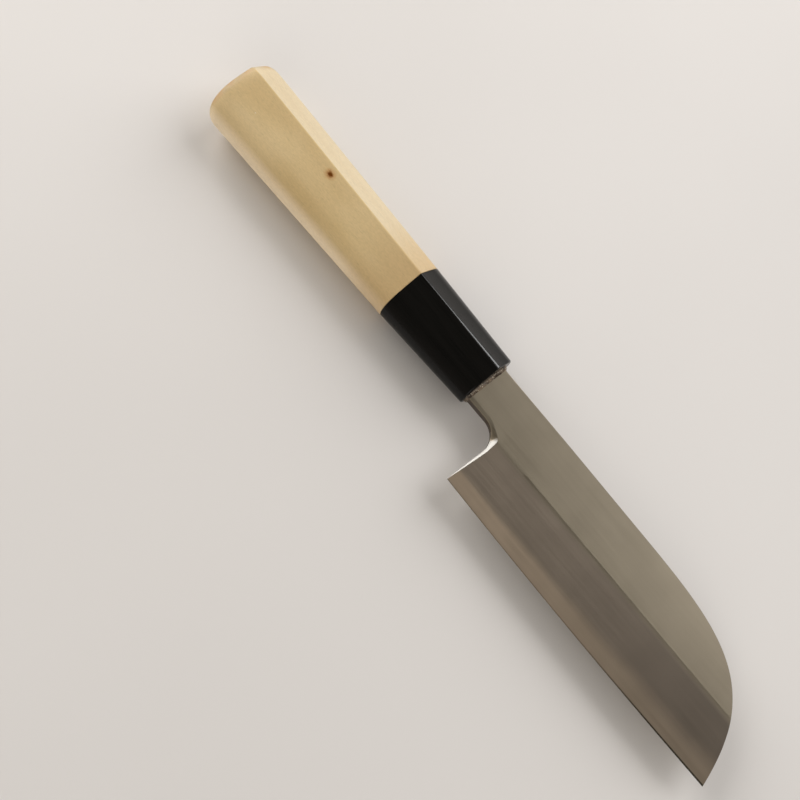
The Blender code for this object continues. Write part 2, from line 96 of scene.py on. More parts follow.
# Tang
TANG_SEAT = 0.0040
TANG_ROOT_HEIGHT = 0.0100
TANG_END_HEIGHT = 0.0050
TANG_END_THICKNESS = 0.0020
TANG_LENGTH = 0.075

# Handle: half height, half thickness of the oval, height and offset of the ridge, and rise
GRIP_LENGTH = 0.0836
FERRULE_LENGTH = 0.03545
AXIS_HEIGHT = 0.02755
BUTT_SECTION = (0.01319, 0.00889, 0.00985, 0.0044, 0.00055)
SEAM_SECTION = (0.0112, 0.00775, 0.0089, 0.0029, 0.0)
FRONT_SECTION = (0.0098, 0.0068, 0.0078, 0.0026, 0.0)
SIDE_CROWN = 0.00008
FERRULE_CROWN = -0.00008
OVAL_DROP = 0.0006
WOOD_RIDGE_ROUND = 0.0008
FERRULE_RIDGE_ROUNDS = (0.0005, 0.0015)
FRONT_ROUND = 0.0006
SEAM_ROUND = 0.00012

# Rounding of the butt, as depth and run: edge side, spine side, faces and ridge
BUTT_ROUNDS = ((0.0033, 0.0046), (0.0010, 0.0034), (0.0021, 0.0031), (0.0017, 0.0062))

# Tenon, bore, mouth and resin
TENON_HALF_HEIGHT = 0.0076
TENON_HALF_THICKNESS = 0.0056
FERRULE_WALL = 0.0070
MOUTH_FACE_GAP = 0.0009
MOUTH_SIDE_GAP = 0.0005
SEAL_DEPTH = 0.0030
SEAL_STAND = 0.0010
SEAT_GAP = 0.0003
TANG_GAP = 0.0003
SEAM_GAP = 0.00002
RESIN_GAP = 0.00005
RESIN_RAGGED = 0.00022
RESIN_SHRINK = (0.20, 0.70)
RESIN_CUTS = 24
RESIN_SEED = 4
RESIN_SMOOTHING = 0.5
RESIN_PASSES = 2

# Marks on the wood, in the knife's axes
KNOT_PLACE = (-0.0907, 0.02905, 0.0104)
KNOT_CORE = 0.00075
KNOT_HALO = 0.0026
SPECK_PLACE = (-0.1201, 0.02417, 0.0093)
SPECK_SIZE = 0.00030

# Lines, rings and borders
FLAT_LINES = (60.0, 4200.0, 60.0)
BEVEL_LINES = (3000.0, 90.0, 90.0)
FIBRE_LINES = (90.0, 3600.0, 3600.0)
HORN_LINES = (60.0, 1800.0, 1800.0)
PORE_STRETCH = (500.0, 5200.0, 5200.0)
GRAIN_STRETCH = (900.0, 2300.0, 2300.0)
BROAD_LINES = 0.22
NOISE_MIDDLE = (0.3, 0.7)
PITH_PLACE = (0.0, 0.060, -0.035)
RING_WIDTH = 0.0044
LOW_SIDE = 0.0174
LOW_SIDE_SLOPE = -0.0173
WELD_WAVE_SCALE = 90.0
WELD_WAVE_STRETCH = (1.0, 0.6, 0.0)
WELD_WAVE = 0.00022
WELD_HEIGHTS = (0.00072, 0.00052)
WELD_SOFTNESS = (0.00016, 0.00030)
# Painted shade: a dark line along the edge, its height over the back and its depths
EDGE_SHADE_HEIGHT = 0.00003
EDGE_SHADE_DEPTHS = (0.35, 0.80)
# Painted shade: the bevel's tone falls to this share at the tip
BEVEL_SHADE_AT_TIP = 0.58

# Colours
FLAT_COLOUR = (0.336, 0.290, 0.218, 1.0)
BEVEL_COLOUR = (0.385, 0.322, 0.258, 1.0)
STEEL_COLOUR = (0.625, 0.505, 0.38, 1.0)
# Painted shade: the dark colour put on the choil's and neck's upright wall
WALL_PAINTED_SHADE = (0.11, 0.085, 0.06, 1.0)
# Brighter polish and a painted highlight on the eased corners of heel and choil
EASE_POLISH_AND_HIGHLIGHT = (0.54, 0.53, 0.50, 1.0)
BACK_COLOUR = (0.46, 0.42, 0.36, 1.0)
WOOD_LIGHT = (0.685, 0.52, 0.272, 1.0)
WOOD_DARK = (0.59, 0.425, 0.195, 1.0)
# Paler sapwood and painted light on the facet that faces the spine side
WOOD_PALE_AND_LIT = (0.64, 0.54, 0.375, 1.0)
# Painted sheen: paler colour along the grip's low side, towards the edge
WOOD_SIDE_SHEEN = (0.95, 0.80, 0.58, 1.0)
WOOD_RING = (0.52, 0.35, 0.16, 1.0)
WOOD_BUTT = (0.62, 0.33, 0.11, 1.0)
WOOD_SPECK = (0.85, 0.78, 0.60, 1.0)
KNOT_COLOUR = (0.14, 0.040, 0.002, 1.0)
KNOT_HALO_COLOUR = (0.46, 0.19, 0.045, 1.0)
HORN_GLOSS = 0.16
RIDGE_GLOSS = 0.9
HORN_DARK = (0.004, 0.004, 0.0035, 1.0)
HORN_STREAK = (0.009, 0.008, 0.007, 1.0)
RESIN_DARK = (0.030, 0.018, 0.011, 1.0)
RESIN_LIGHT = (0.20, 0.145, 0.095, 1.0)
RESIN_FLECK = (0.62, 0.55, 0.42, 1.0)
TABLE_COLOUR = (0.755, 0.73, 0.705, 1.0)
TABLE_SHADE = (0.725, 0.70, 0.675, 1.0)
HORIZON_COLOUR = (0.25, 0.22, 0.19, 1.0)
ZENITH_COLOUR = (0.10, 0.09, 0.075, 1.0)

# Sizes of the clouds in each finish, and strength and distance of each bump
BLADE_CLOUDS = 0.012
WOOD_CLOUDS = 0.028
HORN_CLOUDS = 0.006
RESIN_CLOUDS = 0.0016
BLADE_BUMP = (0.15, 0.00002)
WOOD_BUMP = (0.25, 0.00004)
HORN_BUMP = (0.06, 0.00002)
RESIN_BUMP = (0.5, 0.0001)

# Where the blade's finishes and its painted shade and highlight start and end, by place or facing
FACE_UP = (-0.2, 0.2)
BEVEL_BLEND = (-0.0020, -0.0001)
# Where the choil's and neck's upright wall gets its painted shade
CHOIL_FRONT = 0.0004
CHOIL_REACH = 0.003
SHADED_WALL_UPRIGHT = (0.25, 0.50)
SHADED_WALL_TOP = 0.0005
# Where the eased corners get their painted highlight, which fades as the surface turns down
EASE_HIGHLIGHT_UPRIGHT = (0.90, 0.96)
EASE_HIGHLIGHT_REACH = (0.0020, 0.0026)
EASE_HIGHLIGHT_BACKWARD = (-0.35, -0.15)
EASE_HIGHLIGHT_DOWNWARD = (-0.46, -0.26)
# Where the painted shade along the edge reaches its full depth
EDGE_SHADE_END = 0.85

# Tone: the least, then what clouds and lines add. Roughness: the flat's, then what is added on the
# bevel, by clouds, by lines and on the eased corners.
BLADE_TONES = (0.95, 0.04, 0.05)
BLADE_ROUGH = (0.36, 0.06, 0.015, 0.05, 0.12)

# Wood: stretches, strengths and borders. Tones: the least, then fibres, grains and pores.
DRIFT_STRETCH = (12.0, 60.0, 60.0)
RING_DRIFT = 1.6
RING_RANGE = (-0.6, 1.0)
RING_STRENGTH = 0.09
WOOD_CLOUD_STRETCH = (0.6, 1.6, 1.0)
PORE_RANGE = (0.60, 0.74)
# Where the facet that faces the spine side gets its painted light
LIT_FACET_FACING = (0.25, 0.55)
LIT_FACET_STRENGTH = 0.8
# Where the painted sheen along the low side fades out
LOW_SIDE_SHEEN_FADE = (-0.0004, 0.0023)
LOW_SIDE_SHEEN_STRENGTH = 0.80
# Painted light: the tone lifted a little beside the low side
LOW_SIDE_LIGHT = (0.0020, 0.0075)
LOW_SIDE_LIGHT_STRENGTH = 0.08
# Painted shade, with a warmer tone, towards the seam with the ferrule
SEAM_SHADE_RUN = 0.024
SEAM_SHADE = 0.60
WOOD_TONES = (0.93, 0.05, 0.09, -0.12)
WOOD_ROUGH = (0.50, 0.12)
PORE_DEPTH = -0.5
PATCH_SCALE = 280.0
PATCH_RANGE = (0.40, 0.62)
BUTT_TINT_START = (0.0001, 0.0007)
BUTT_TINT_STRENGTHS = (0.12, 0.55)
BUTT_TINT_END = (0.0009, 0.0034)
# Painted shade over the butt's rounded end: where it runs and how dark it gets
BUTT_END_SHADE_RUN = (0.0004, 0.0036)
BUTT_END_SHADE_TONE = 0.70
KNOT_STRETCH = (0.8, 1.0, 1.0)
KNOT_RAGGED_STRETCH = (900.0, 1400.0, 1400.0)
KNOT_RAGGED = 0.0009
KNOT_HALO_STRENGTH = 0.75
KNOT_CORE_FADE = (1.1, 2.1)
KNOT_SHINE = (0.08, 0.5)
SPECK_STRENGTH = 0.5

# Horn and resin. Roughness: the least, then what clouds and streaks add.
STREAK_STRENGTH = 0.6
HORN_ROUGH = (0.17, 0.05, 0.05)
RIDGE_START = (-0.26, -0.05)
RIDGE_END = (0.30, 0.56)
RIDGE_UPRIGHT = (0.70, 0.80)
RESIN_LUMPS = 1100.0
RESIN_FLECKS = 2300.0
FLECK_RANGE = (0.60, 0.68)
RESIN_ROUGH = (0.28, 0.25)

# Table, room and lamps, each lamp as place, width, power and colour
TABLE_SIZE = 6.0
TABLE_CLOUDS = 5.0
TABLE_ROUGH = 0.75
TABLE_GLOSS = 0.15
DOME_RANGE = (0.15, 0.85)
WINDOW_LAMP = ((0.35, 1.12, 0.76), 1.2, 18.0, (0.99, 0.99, 1.0))
SIDE_LAMP = ((-0.95, 0.12, 0.42), 0.9, 11.0, (1.0, 0.98, 0.96))
FILL_LAMP = ((0.65, -0.90, 0.50), 0.9, 4.0, (1.0, 0.96, 0.90))

# Camera, as the photograph was taken
CAMERA_PLACE = (0.008805, -0.064937, 0.238877)
CAMERA_RIGHT = (0.6341122, 0.7626388, 0.1276074)
CAMERA_DOWN = (0.7604796, -0.5852374, -0.2813681)
CAMERA_LENS = 39.375
CAMERA_SENSOR = 36.0
CAMERA_CLIP = (0.005, 20.0)

# Margins and facets
OVERCUT = 0.003
EASE_OVERCUT = 0.001
LINE_MARGIN = 1e-6
WELD_DISTANCE = 1e-7
RIM_ANGLE = math.radians(0.8)
FLAT_UPRIGHT = 0.9985
BEVEL_UPRIGHT = 0.98
BEVEL_LEAN = 0.03
BLADE_STEP = 0.0015
BEVEL_STEPS = 16
BEVEL_OVERRUN = 0.2
HOLLOW_STEPS = 8
HOLLOW_OVERRUN = 1.3
FRONT_STEPS = 72
ARC_STEPS = 32
HEEL_STEPS = 8
OVAL_STEPS = 84
RIDGE_STEPS = 8
SIDE_STEPS = 8
ROUND_STEPS = 10
BUTT_STEPS = 18
LENGTH_STEPS = 12
SMOOTH_ANGLE = math.radians(30)

# Places worked out from the sizes
FERRULE_FRONT_X = -NECK_LENGTH
SEAM_X = FERRULE_FRONT_X - FERRULE_LENGTH
BUTT_X = SEAM_X - GRIP_LENGTH
NECK_MID_Z = NECK_THICKNESS / 2
TANG_END_X = FERRULE_FRONT_X - TANG_LENGTH
CHOIL_BASE = NECK_BOTTOM - CHOIL_RADIUS
EDGE_RADIUS = (EDGE_LENGTH / 2) ** 2 / (2 * EDGE_BELLY) + EDGE_BELLY / 2
steel_low, steel_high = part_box("blade_steel")
HEEL = Vector((steel_high.x - EDGE_LENGTH, steel_low.y + EDGE_BELLY, steel_low.z))


def between(first, second, share):
    """Values that lie a share of the way from one list of sizes to another."""
    return tuple(a + (b - a) * share for a, b in zip(first, second))


def spine_y(x):
    return SPINE_HEIGHT - SPINE_FALL * x


def edge_y(x):
    """The edge bows out between heel and tip on one shallow arc."""
    from_middle = x - EDGE_LENGTH / 2
    return EDGE_RADIUS - EDGE_BELLY - math.sqrt(EDGE_RADIUS ** 2 - from_middle ** 2)


def neck_share(x):
    """0 at the heel and 1 at the ferrule's front."""
    return min(1.0, max(0.0, -x / NECK_LENGTH))


def spine_z(x):
    """Thickness at the spine: the tang's taper, the neck, then a long taper to the tip."""
    if x < FERRULE_FRONT_X:
        share = (FERRULE_FRONT_X - x) / TANG_LENGTH
        return NECK_THICKNESS + (TANG_END_THICKNESS - NECK_THICKNESS) * share
    if x < 0:
        return HEEL_THICKNESS + (NECK_THICKNESS - HEEL_THICKNESS) * neck_share(x)
    return HEEL_THICKNESS + (TIP_THICKNESS - HEEL_THICKNESS) * x / EDGE_LENGTH


def face_z(x, y):
    """Height of the right face over the flat back: the crowned bevel, then the flat."""
    drop = SHINOGI_DROP * (1 - neck_share(x))
    shinogi_z = spine_z(x) - drop
    if y >= SHINOGI_HEIGHT:
        return shinogi_z + drop * (y - SHINOGI_HEIGHT) / (spine_y(x) - SHINOGI_HEIGHT)
    share = (y - edge_y(x)) / (SHINOGI_HEIGHT - edge_y(x))
    crown = BEVEL_CROWN * share * (1 - share) if share > 0 else BEVEL_CROWN * share
    return shinogi_z * (share + crown)


def front_curve():
    """The spine's turn down to the tip, one cubic curve, and its direction at the tip."""
    start = Vector((FRONT_START, spine_y(FRONT_START)))
    tip = Vector((EDGE_LENGTH, 0.0))
    out_of_tip = Vector((-math.cos(FRONT_TIP_ANGLE), math.sin(FRONT_TIP_ANGLE)))
    second = start + Vector((1.0, -SPINE_FALL)).normalized() * FRONT_SPINE_PULL
    third = tip + out_of_tip * FRONT_TIP_PULL
    points = []
    for i in range(FRONT_STEPS + 1):
        t = i / FRONT_STEPS
        u = 1 - t
        points.append(u ** 3 * start + 3 * u * u * t * second + 3 * u * t * t * third
                      + t ** 3 * tip)
    return points, -out_of_tip


def front_height(x, front):
    """Height of the spine or of the front curve at x."""
    if x <= front[0].x:
        return spine_y(x)
    for before, after in zip(front, front[1:]):
        if before.x <= x <= after.x:
            return before.y + (after.y - before.y) * (x - before.x) / (after.x - before.x)
    return front[-1].y


def heel_point(y):
    """Point of the heel line at height y: it leans, so that its corner reaches back."""
    return Vector((-HEEL_LEAN * (1 - y / CHOIL_BASE), y))


def heel_inward():
    """Direction from the heel line into the blade."""
    return Vector((CHOIL_BASE, -HEEL_LEAN)).normalized()


def choil_curve():
    """The wide fillet between the heel line and the neck's underside."""
    points = []
    for i in range(ARC_STEPS + 1):
        angle = math.pi / 2 * i / ARC_STEPS
        points.append(Vector((CHOIL_RADIUS * (math.cos(angle) - 1),
                              CHOIL_BASE + CHOIL_RADIUS * math.sin(angle))))
    return points


def blade_outline():
    """Plan of the whole blade and tang, anticlockwise seen from +Z, open past the edge."""
    front, tip_run = front_curve()
    shoulder_x = FERRULE_FRONT_X - TANG_SEAT
    mid = (NECK_BOTTOM + spine_y(FERRULE_FRONT_X)) / 2
    points = [heel_point(-OVERCUT), front[-1] + tip_run * OVERCUT]
    points += list(reversed(front))
    points += [Vector((shoulder_x, spine_y(shoulder_x))),
               Vector((shoulder_x, mid + TANG_ROOT_HEIGHT / 2)),
               Vector((TANG_END_X, mid + TANG_END_HEIGHT / 2)),
               Vector((TANG_END_X, mid - TANG_END_HEIGHT / 2)),
               Vector((shoulder_x, mid - TANG_ROOT_HEIGHT / 2)),
               Vector((shoulder_x, NECK_BOTTOM))]
    points += list(reversed(choil_curve()))
    return points + [heel_point(CHOIL_BASE * (1 - i / HEEL_STEPS))
                     for i in range(1, HEEL_STEPS + 1)]


# Modelling helpers

def pick(piece):
    """Select one piece alone and make it the active one."""
    bpy.ops.object.select_all(action="DESELECT")
    piece.select_set(True)
    bpy.context.view_layer.objects.active = piece


def start_edit(piece):
    pick(piece)
    bpy.ops.object.mode_set(mode="EDIT")
    bpy.ops.mesh.select_all(action="SELECT")


def end_edit():
    bpy.ops.object.mode_set(mode="OBJECT")


def select_edges(piece, wanted):
    """In edit mode, select only the edges for which wanted(edge) is true."""
    bpy.ops.mesh.select_all(action="DESELECT")
    bpy.ops.mesh.select_mode(type="EDGE")
    mesh = bmesh.from_edit_mesh(piece.data)
    for edge in mesh.edges:
        edge.select_set(wanted(edge))
    bmesh.update_edit_mesh(piece.data)


def select_vertices(piece, wanted):
    """In edit mode, select only the vertices for which wanted(vertex) is true."""
    bpy.ops.mesh.select_all(action="DESELECT")
    bpy.ops.mesh.select_mode(type="VERT")
    mesh = bmesh.from_edit_mesh(piece.data)
    for vertex in mesh.verts:
        vertex.select_set(wanted(vertex))
    mesh.select_flush(True)
    bmesh.update_edit_mesh(piece.data)


def loft(name, rings):
    """A grid sheet wrapped round a list of rings, welded along its seam and capped at both ends."""
    count = len(rings[0])
    bpy.ops.object.select_all(action="DESELECT")
    bpy.ops.mesh.primitive_grid_add(x_subdivisions=count, y_subdivisions=len(rings) - 1)
    piece = bpy.context.object
    piece.name = name
    for index, vertex in enumerate(piece.data.vertices):
        vertex.co = rings[index // (count + 1)][index % (count + 1) % count]
    start_edit(piece)
    bpy.ops.mesh.remove_doubles(threshold=WELD_DISTANCE)
    bpy.ops.mesh.select_all(action="DESELECT")
    bpy.ops.mesh.select_non_manifold()
    bpy.ops.mesh.fill_holes(sides=0)
    bpy.ops.mesh.select_all(action="SELECT")
    bpy.ops.mesh.normals_make_consistent(inside=False)
    end_edit()
    return piece


def plate(name, outline, low, high):
    """A filled circle drawn out to an outline and extruded from one height to another."""
    bpy.ops.object.select_all(action="DESELECT")
    bpy.ops.mesh.primitive_circle_add(vertices=len(outline), fill_type="NGON")
    piece = bpy.context.object
    piece.name = name
    for vertex, point in zip(piece.data.vertices, outline):
        vertex.co = (point.x, point.y, low)
    start_edit(piece)
    bpy.ops.mesh.extrude_region_move(TRANSFORM_OT_translate={"value": (0, 0, high - low)})
    bpy.ops.mesh.select_all(action="SELECT")
    bpy.ops.mesh.normals_make_consistent(inside=False)
    end_edit()
    return piece


def box(name, low, high):
    """A cube primitive set between two corners."""
    bpy.ops.object.select_all(action="DESELECT")
    middle = (Vector(low) + Vector(high)) / 2
    bpy.ops.mesh.primitive_cube_add(size=1.0, location=middle, scale=Vector(high) - Vector(low))
    piece = bpy.context.object
    piece.name = name
    bpy.ops.object.transform_apply(location=True, rotation=False, scale=True)
    return piece


def copy_of(piece, name):
    pick(piece)
    bpy.ops.object.duplicate()
    twin = bpy.context.object
    twin.name = name
    return twin


def in_triangles(piece):
    """Make the mesh all triangles, with points that all but touch made one."""
    start_edit(piece)
    bpy.ops.mesh.quads_convert_to_tris()
    bpy.ops.mesh.remove_doubles(threshold=WELD_DISTANCE)
    bpy.ops.mesh.dissolve_degenerate(threshold=WELD_DISTANCE)
    end_edit()


def combine(piece, operation, tool):
    """Apply a Boolean modifier with the tool, and clear the tool away."""
    in_triangles(tool)
    in_triangles(piece)
    modifier = piece.modifiers.new(tool.name, "BOOLEAN")
    modifier.operation = operation
    modifier.object = tool
    modifier.solver = "EXACT"
    bpy.ops.object.modifier_apply(modifier=modifier.name)
    bpy.data.objects.remove(tool, do_unlink=True)
    if not piece.data.polygons:
        raise RuntimeError(piece.name + " was emptied by a Boolean")
    in_triangles(piece)


def smooth(piece, keep_marks=False):
    """Smooth shading up to the sharp angle, with large faces ruling the normals."""
    pick(piece)
    bpy.ops.object.shade_smooth_by_angle(angle=SMOOTH_ANGLE, keep_sharp_edges=keep_marks)
    modifier = piece.modifiers.new("even_normals", "WEIGHTED_NORMAL")
    modifier.keep_sharp = True
    bpy.ops.object.modifier_apply(modifier=modifier.name)


def mark_sharp(piece, wanted):
    start_edit(piece)
    select_edges(piece, wanted)
    bpy.ops.mesh.mark_sharp()
    end_edit()


def set_down(piece, node, *materials):
    """Move a finished piece to its place in the frame, to stand for its CAD node."""
    start_edit(piece)
    bpy.ops.transform.translate(value=HEEL)
    end_edit()
    for material in materials:
        piece.data.materials.append(material)
    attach(piece, "root")
    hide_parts(node)


# Blade

def section_ring(x):
    """Section of the bevelled body at x, from below the edge to past the spine."""
    low = edge_y(x)
    bevel = SHINOGI_HEIGHT - low
    rows = [low - bevel * BEVEL_OVERRUN]
    rows += [low + bevel * i / BEVEL_STEPS for i in range(BEVEL_STEPS + 1)]
    rows += [(SHINOGI_HEIGHT + spine_y(x)) / 2, spine_y(x) + OVERCUT]
    ring = [Vector((x, y, face_z(x, y))) for y in rows]
    return ring + [Vector((x, rows[-1], -OVERCUT)), Vector((x, rows[0], -OVERCUT))]


def body_tool():
    """Everything under the right face, from the tang's end to past the tip."""
    stations = [TANG_END_X - OVERCUT, FERRULE_FRONT_X - TANG_SEAT, FERRULE_FRONT_X,
                FERRULE_FRONT_X / 2]
    count = math.ceil((EDGE_LENGTH + OVERCUT) / BLADE_STEP)
    stations += [(EDGE_LENGTH + OVERCUT) * i / count for i in range(count + 1)]
    return loft("body_tool", [section_ring(x) for x in stations])


def ease_tool(name, path):
    """A bar along a path that takes a corner off in three strips, from steep to soft.

    Each step of the path has its place, the direction into the metal, the height of the face, and
    the widths and slopes of the strips.
    """
    rings = []
    for place, inward, height, widths, slopes in path:
        knees = [Vector((sum(widths), height))]
        for width, slope in reversed(list(zip(widths, slopes))):
            knees.append(knees[-1] - Vector((width, width * slope)))
        inner = knees[0] + Vector((1.0, slopes[-1])).normalized() * EASE_OVERCUT
        outer = knees[-1] - Vector((1.0, slopes[0])).normalized() * EASE_OVERCUT
        ring = [outer] + knees[2:0:-1] + [inner, Vector((outer.x, height + EASE_OVERCUT))]
        rings.append([Vector((place.x + inward.x * point.x, place.y + inward.y * point.x,
                              point.y)) for point in ring])
    return loft(name, rings)


def heel_path():
    """Path up the heel, round the choil and along under the neck.

    The strips widen from next to nothing at the edge's corner to their full widths at the choil,
    and change round it to those of the neck. Below the edge the face lies under the back, and a
    width under nothing would fold the bar's ring across itself.
    """
    path = []
    arc = choil_curve()
    full = face_z(0.0, SHINOGI_HEIGHT)
    for i in range(HEEL_STEPS):
        y = -EASE_OVERCUT + (arc[0].y + EASE_OVERCUT) * i / HEEL_STEPS
        height = max(face_z(0.0, y), -STEEL_THICKNESS / 2)
        widths = [width * max(height / full, EASE_LEAST) for width in HEEL_STRIPS]
        path.append((heel_point(y), heel_inward(), height, widths, HEEL_SLOPES))
    for i, place in enumerate(arc):
        angle = math.pi / 2 * i / ARC_STEPS
        inward = Vector((math.cos(angle), math.sin(angle)))
        share = min(1.0, max(0.0, (i / ARC_STEPS - TURN_START) / (TURN_END - TURN_START)))
        eased = share * share * (3 - 2 * share)
        height = face_z(place.x, place.y)
        widths = between(HEEL_STRIPS, NECK_STRIPS, eased)
        from_fan = (i / ARC_STEPS - FAN_PLACE) / FAN_WIDTH
        grown = min(1.0, height / full) * (1 + FAN_GROWTH * math.exp(-from_fan ** 2))
        path.append((place, inward, height, [width * grown for width in widths],
                     between(HEEL_SLOPES, NECK_SLOPES, eased)))
    for x in (FERRULE_FRONT_X, FERRULE_FRONT_X - TANG_SEAT - EASE_OVERCUT):
        place = Vector((x, NECK_BOTTOM))
        path.append((place, Vector((0.0, 1.0)), spine_z(x), NECK_STRIPS, NECK_SLOPES))
    return path


def spine_path():
    """Path along the spine. The strips narrow on the way, and past their end the bar is clear."""
    down = Vector((-SPINE_FALL, -1.0)).normalized()
    start_x = FERRULE_FRONT_X - TANG_SEAT - EASE_OVERCUT
    path = []
    for x in (start_x, FERRULE_FRONT_X, 0.0, SPINE_EASE_END + OVERCUT):
        share = (SPINE_EASE_END - x) / (SPINE_EASE_END - start_x)
        width = SPINE_EASE / 3 * max(share, EASE_LEAST)
        place = Vector((x, spine_y(x))) + down * SPINE_EASE * min(share, 0.0)
        path.append((place, down, spine_z(x), [width] * 3, SPINE_SLOPES))
    return path


def hollow_tool():
    """The shallow dish ground in the back, inside a flat rim."""
    front, _ = front_curve()
    start = HOLLOW_RIM
    stop = EDGE_LENGTH - 2 * HOLLOW_RIM
    rows = [-HOLLOW_OVERRUN]
    rows += [i / HOLLOW_STEPS - 1 for i in range(2 * HOLLOW_STEPS + 1)]
    rows += [HOLLOW_OVERRUN]
    count = math.ceil((stop - start) / BLADE_STEP)
    rings = []
    for i in range(count + 1):
        x = start + (stop - start) * i / count
        top_y = front_height(x, front) - HOLLOW_RIM
        low_y = edge_y(x) + HOLLOW_RIM
        half = max(top_y - low_y, HOLLOW_RIM) / 2
        near_heel = max(0.0, 1 - (x - start) / HOLLOW_HEEL_RUN)
        near_tip = max(0.0, 1 - (stop - x) / HOLLOW_TIP_RUN)
        fall = near_heel ** 2 + near_tip ** 2
        ring = [Vector((x, (top_y + low_y) / 2 + half * row,
                        HOLLOW_DEPTH * (1 - row * row - fall))) for row in rows]
        rings.append(ring + [Vector((x, ring[-1].y, -OVERCUT)),
                             Vector((x, ring[0].y, -OVERCUT))])
    return loft("hollow_tool", rings)


def is_broad(face):
    """True for a face of the flat or of the bevel, and not of an eased corner."""
    if face.calc_center_median().y > SHINOGI_HEIGHT:
        return face.normal.z > FLAT_UPRIGHT
    return face.normal.z > BEVEL_UPRIGHT and abs(face.normal.x) < BEVEL_LEAN


def bounds_broad(edge):
    """True for an edge of the flat or the bevel, but for the soft start of their common line."""
    first, second = edge.link_faces
    if is_broad(first) != is_broad(second):
        return True
    return is_broad(first) and all(abs(vertex.co.y - SHINOGI_HEIGHT) < LINE_MARGIN
                                   and vertex.co.x > SHINOGI_SOFT_END for vertex in edge.verts)


def on_weld(edge):
    """True for an edge in the plane where the iron meets the steel."""
    return all(abs(vertex.co.z - STEEL_THICKNESS) < LINE_MARGIN for vertex in edge.verts)


def on_rim(edge):
    """True for an edge between the flat rim of the back and the dish."""
    if any(abs(vertex.co.z) > LINE_MARGIN for vertex in edge.verts):
        return False
    return edge.calc_face_angle(0.0) > RIM_ANGLE


def build_blade():
    blank = plate("iron_body", blade_outline(), 0.0, NECK_THICKNESS + OVERCUT)
    combine(blank, "INTERSECT", body_tool())
    combine(blank, "DIFFERENCE", ease_tool("heel_ease", heel_path()))
    steel = copy_of(blank, "steel_plate")
    far = Vector((EDGE_LENGTH + OVERCUT, SPINE_HEIGHT + OVERCUT, STEEL_THICKNESS))
    near = Vector((-STEEL_END, -2 * OVERCUT, -OVERCUT))
    combine(blank, "DIFFERENCE", box("iron_room", near, far))
    combine(blank, "DIFFERENCE", ease_tool("spine_ease", spine_path()))
    combine(steel, "INTERSECT", box("steel_room", near, far))
    combine(steel, "DIFFERENCE", hollow_tool())
    return blank, steel


# Handle

def chestnut_ring(x, section, ridge_round, inset=0.0, crown=SIDE_CROWN):
    """One ring of the chestnut section: an oval with two low-crowned sides that meet in a ridge.

    An inset draws the ring in. The crown is that of the side towards the spine.
    """
    half_height, oval_half, ridge_height, ridge_offset, rise = section
    across = half_height - inset
    depth = oval_half - inset
    ridge = Vector((ridge_offset * across / half_height, ridge_height - inset))
    scaled = Vector((ridge.x / across, (ridge.y + OVAL_DROP) / depth))
    facing = math.atan2(scaled.y, scaled.x)
    opening = math.acos(1 / scaled.length)
    first = facing + opening
    sweep = 2 * math.pi - 2 * opening
    oval = []
    for i in range(OVAL_STEPS + 1):
        angle = first + sweep * i / OVAL_STEPS
        oval.append(Vector((across * math.cos(angle), depth * math.sin(angle) - OVAL_DROP)))
    to_last = (oval[-1] - ridge).normalized()
    to_first = (oval[0] - ridge).normalized()
    half_angle = to_last.angle(to_first) / 2
    run = ridge_round / math.tan(half_angle)
    centre = ridge + (to_last + to_first).normalized() * (ridge_round / math.sin(half_angle))
    start = ridge + to_last * run - centre
    turn = start.angle_signed(ridge + to_first * run - centre)
    arc = []
    for i in range(RIDGE_STEPS + 1):
        angle = -turn * i / RIDGE_STEPS
        arc.append(centre + Vector((start.x * math.cos(angle) - start.y * math.sin(angle),
                                    start.x * math.sin(angle) + start.y * math.cos(angle))))
    points = (oval + side_points(oval[-1], arc[0], crown) + arc
              + side_points(arc[-1], oval[0], SIDE_CROWN))
    return [Vector((x, point.x + AXIS_HEIGHT + rise, point.y + NECK_MID_Z)) for point in points]


def side_points(start, end, crown):
    """Points along a side between the oval and the ridge, crowned by a hair."""
    outward = Vector((end.y - start.y, start.x - end.x)).normalized()
    points = []
    for i in range(1, SIDE_STEPS):
        share = i / SIDE_STEPS
        points.append(start + (end - start) * share
                      + outward * (4 * crown * share * (1 - share)))
    return points


def oval_ring(x, half_height, half_thickness, like):
    """An oval ring at x whose points lie at the same bearings as the ring that it follows."""
    ring = []
    for point in like:
        bearing = math.atan2((point.z - NECK_MID_Z) / half_thickness,
                             (point.y - AXIS_HEIGHT) / half_height)
        ring.append(Vector((x, AXIS_HEIGHT + half_height * math.cos(bearing),
                            NECK_MID_Z + half_thickness * math.sin(bearing))))
    return ring


def box_ring(x, low_y, high_y, low_z, high_z):
    return [Vector((x, low_y, low_z)), Vector((x, high_y, low_z)),
            Vector((x, high_y, high_z)), Vector((x, low_y, high_z))]


def tang_tool():
    """The slot for the tang, a clearance larger than it all round."""
    mid = (NECK_BOTTOM + spine_y(FERRULE_FRONT_X)) / 2
    rings = []
    for x, height in ((TANG_END_X - TANG_GAP, TANG_END_HEIGHT),
                      (FERRULE_FRONT_X - TANG_SEAT, TANG_ROOT_HEIGHT)):
        half = height / 2 + TANG_GAP
        rings.append(box_ring(x, mid - half, mid + half, -TANG_GAP, spine_z(x) + TANG_GAP))
    return loft("tang_tool", rings)


def neck_tool(name, depth, side, face):
    """A bar of the neck's own outline, with its gaps, from past the mouth to a depth."""
    rings = [box_ring(x, NECK_BOTTOM - side, spine_y(x) + side, -face, NECK_THICKNESS + face)
             for x in (FERRULE_FRONT_X - depth, FERRULE_FRONT_X + OVERCUT)]
    return loft(name, rings)


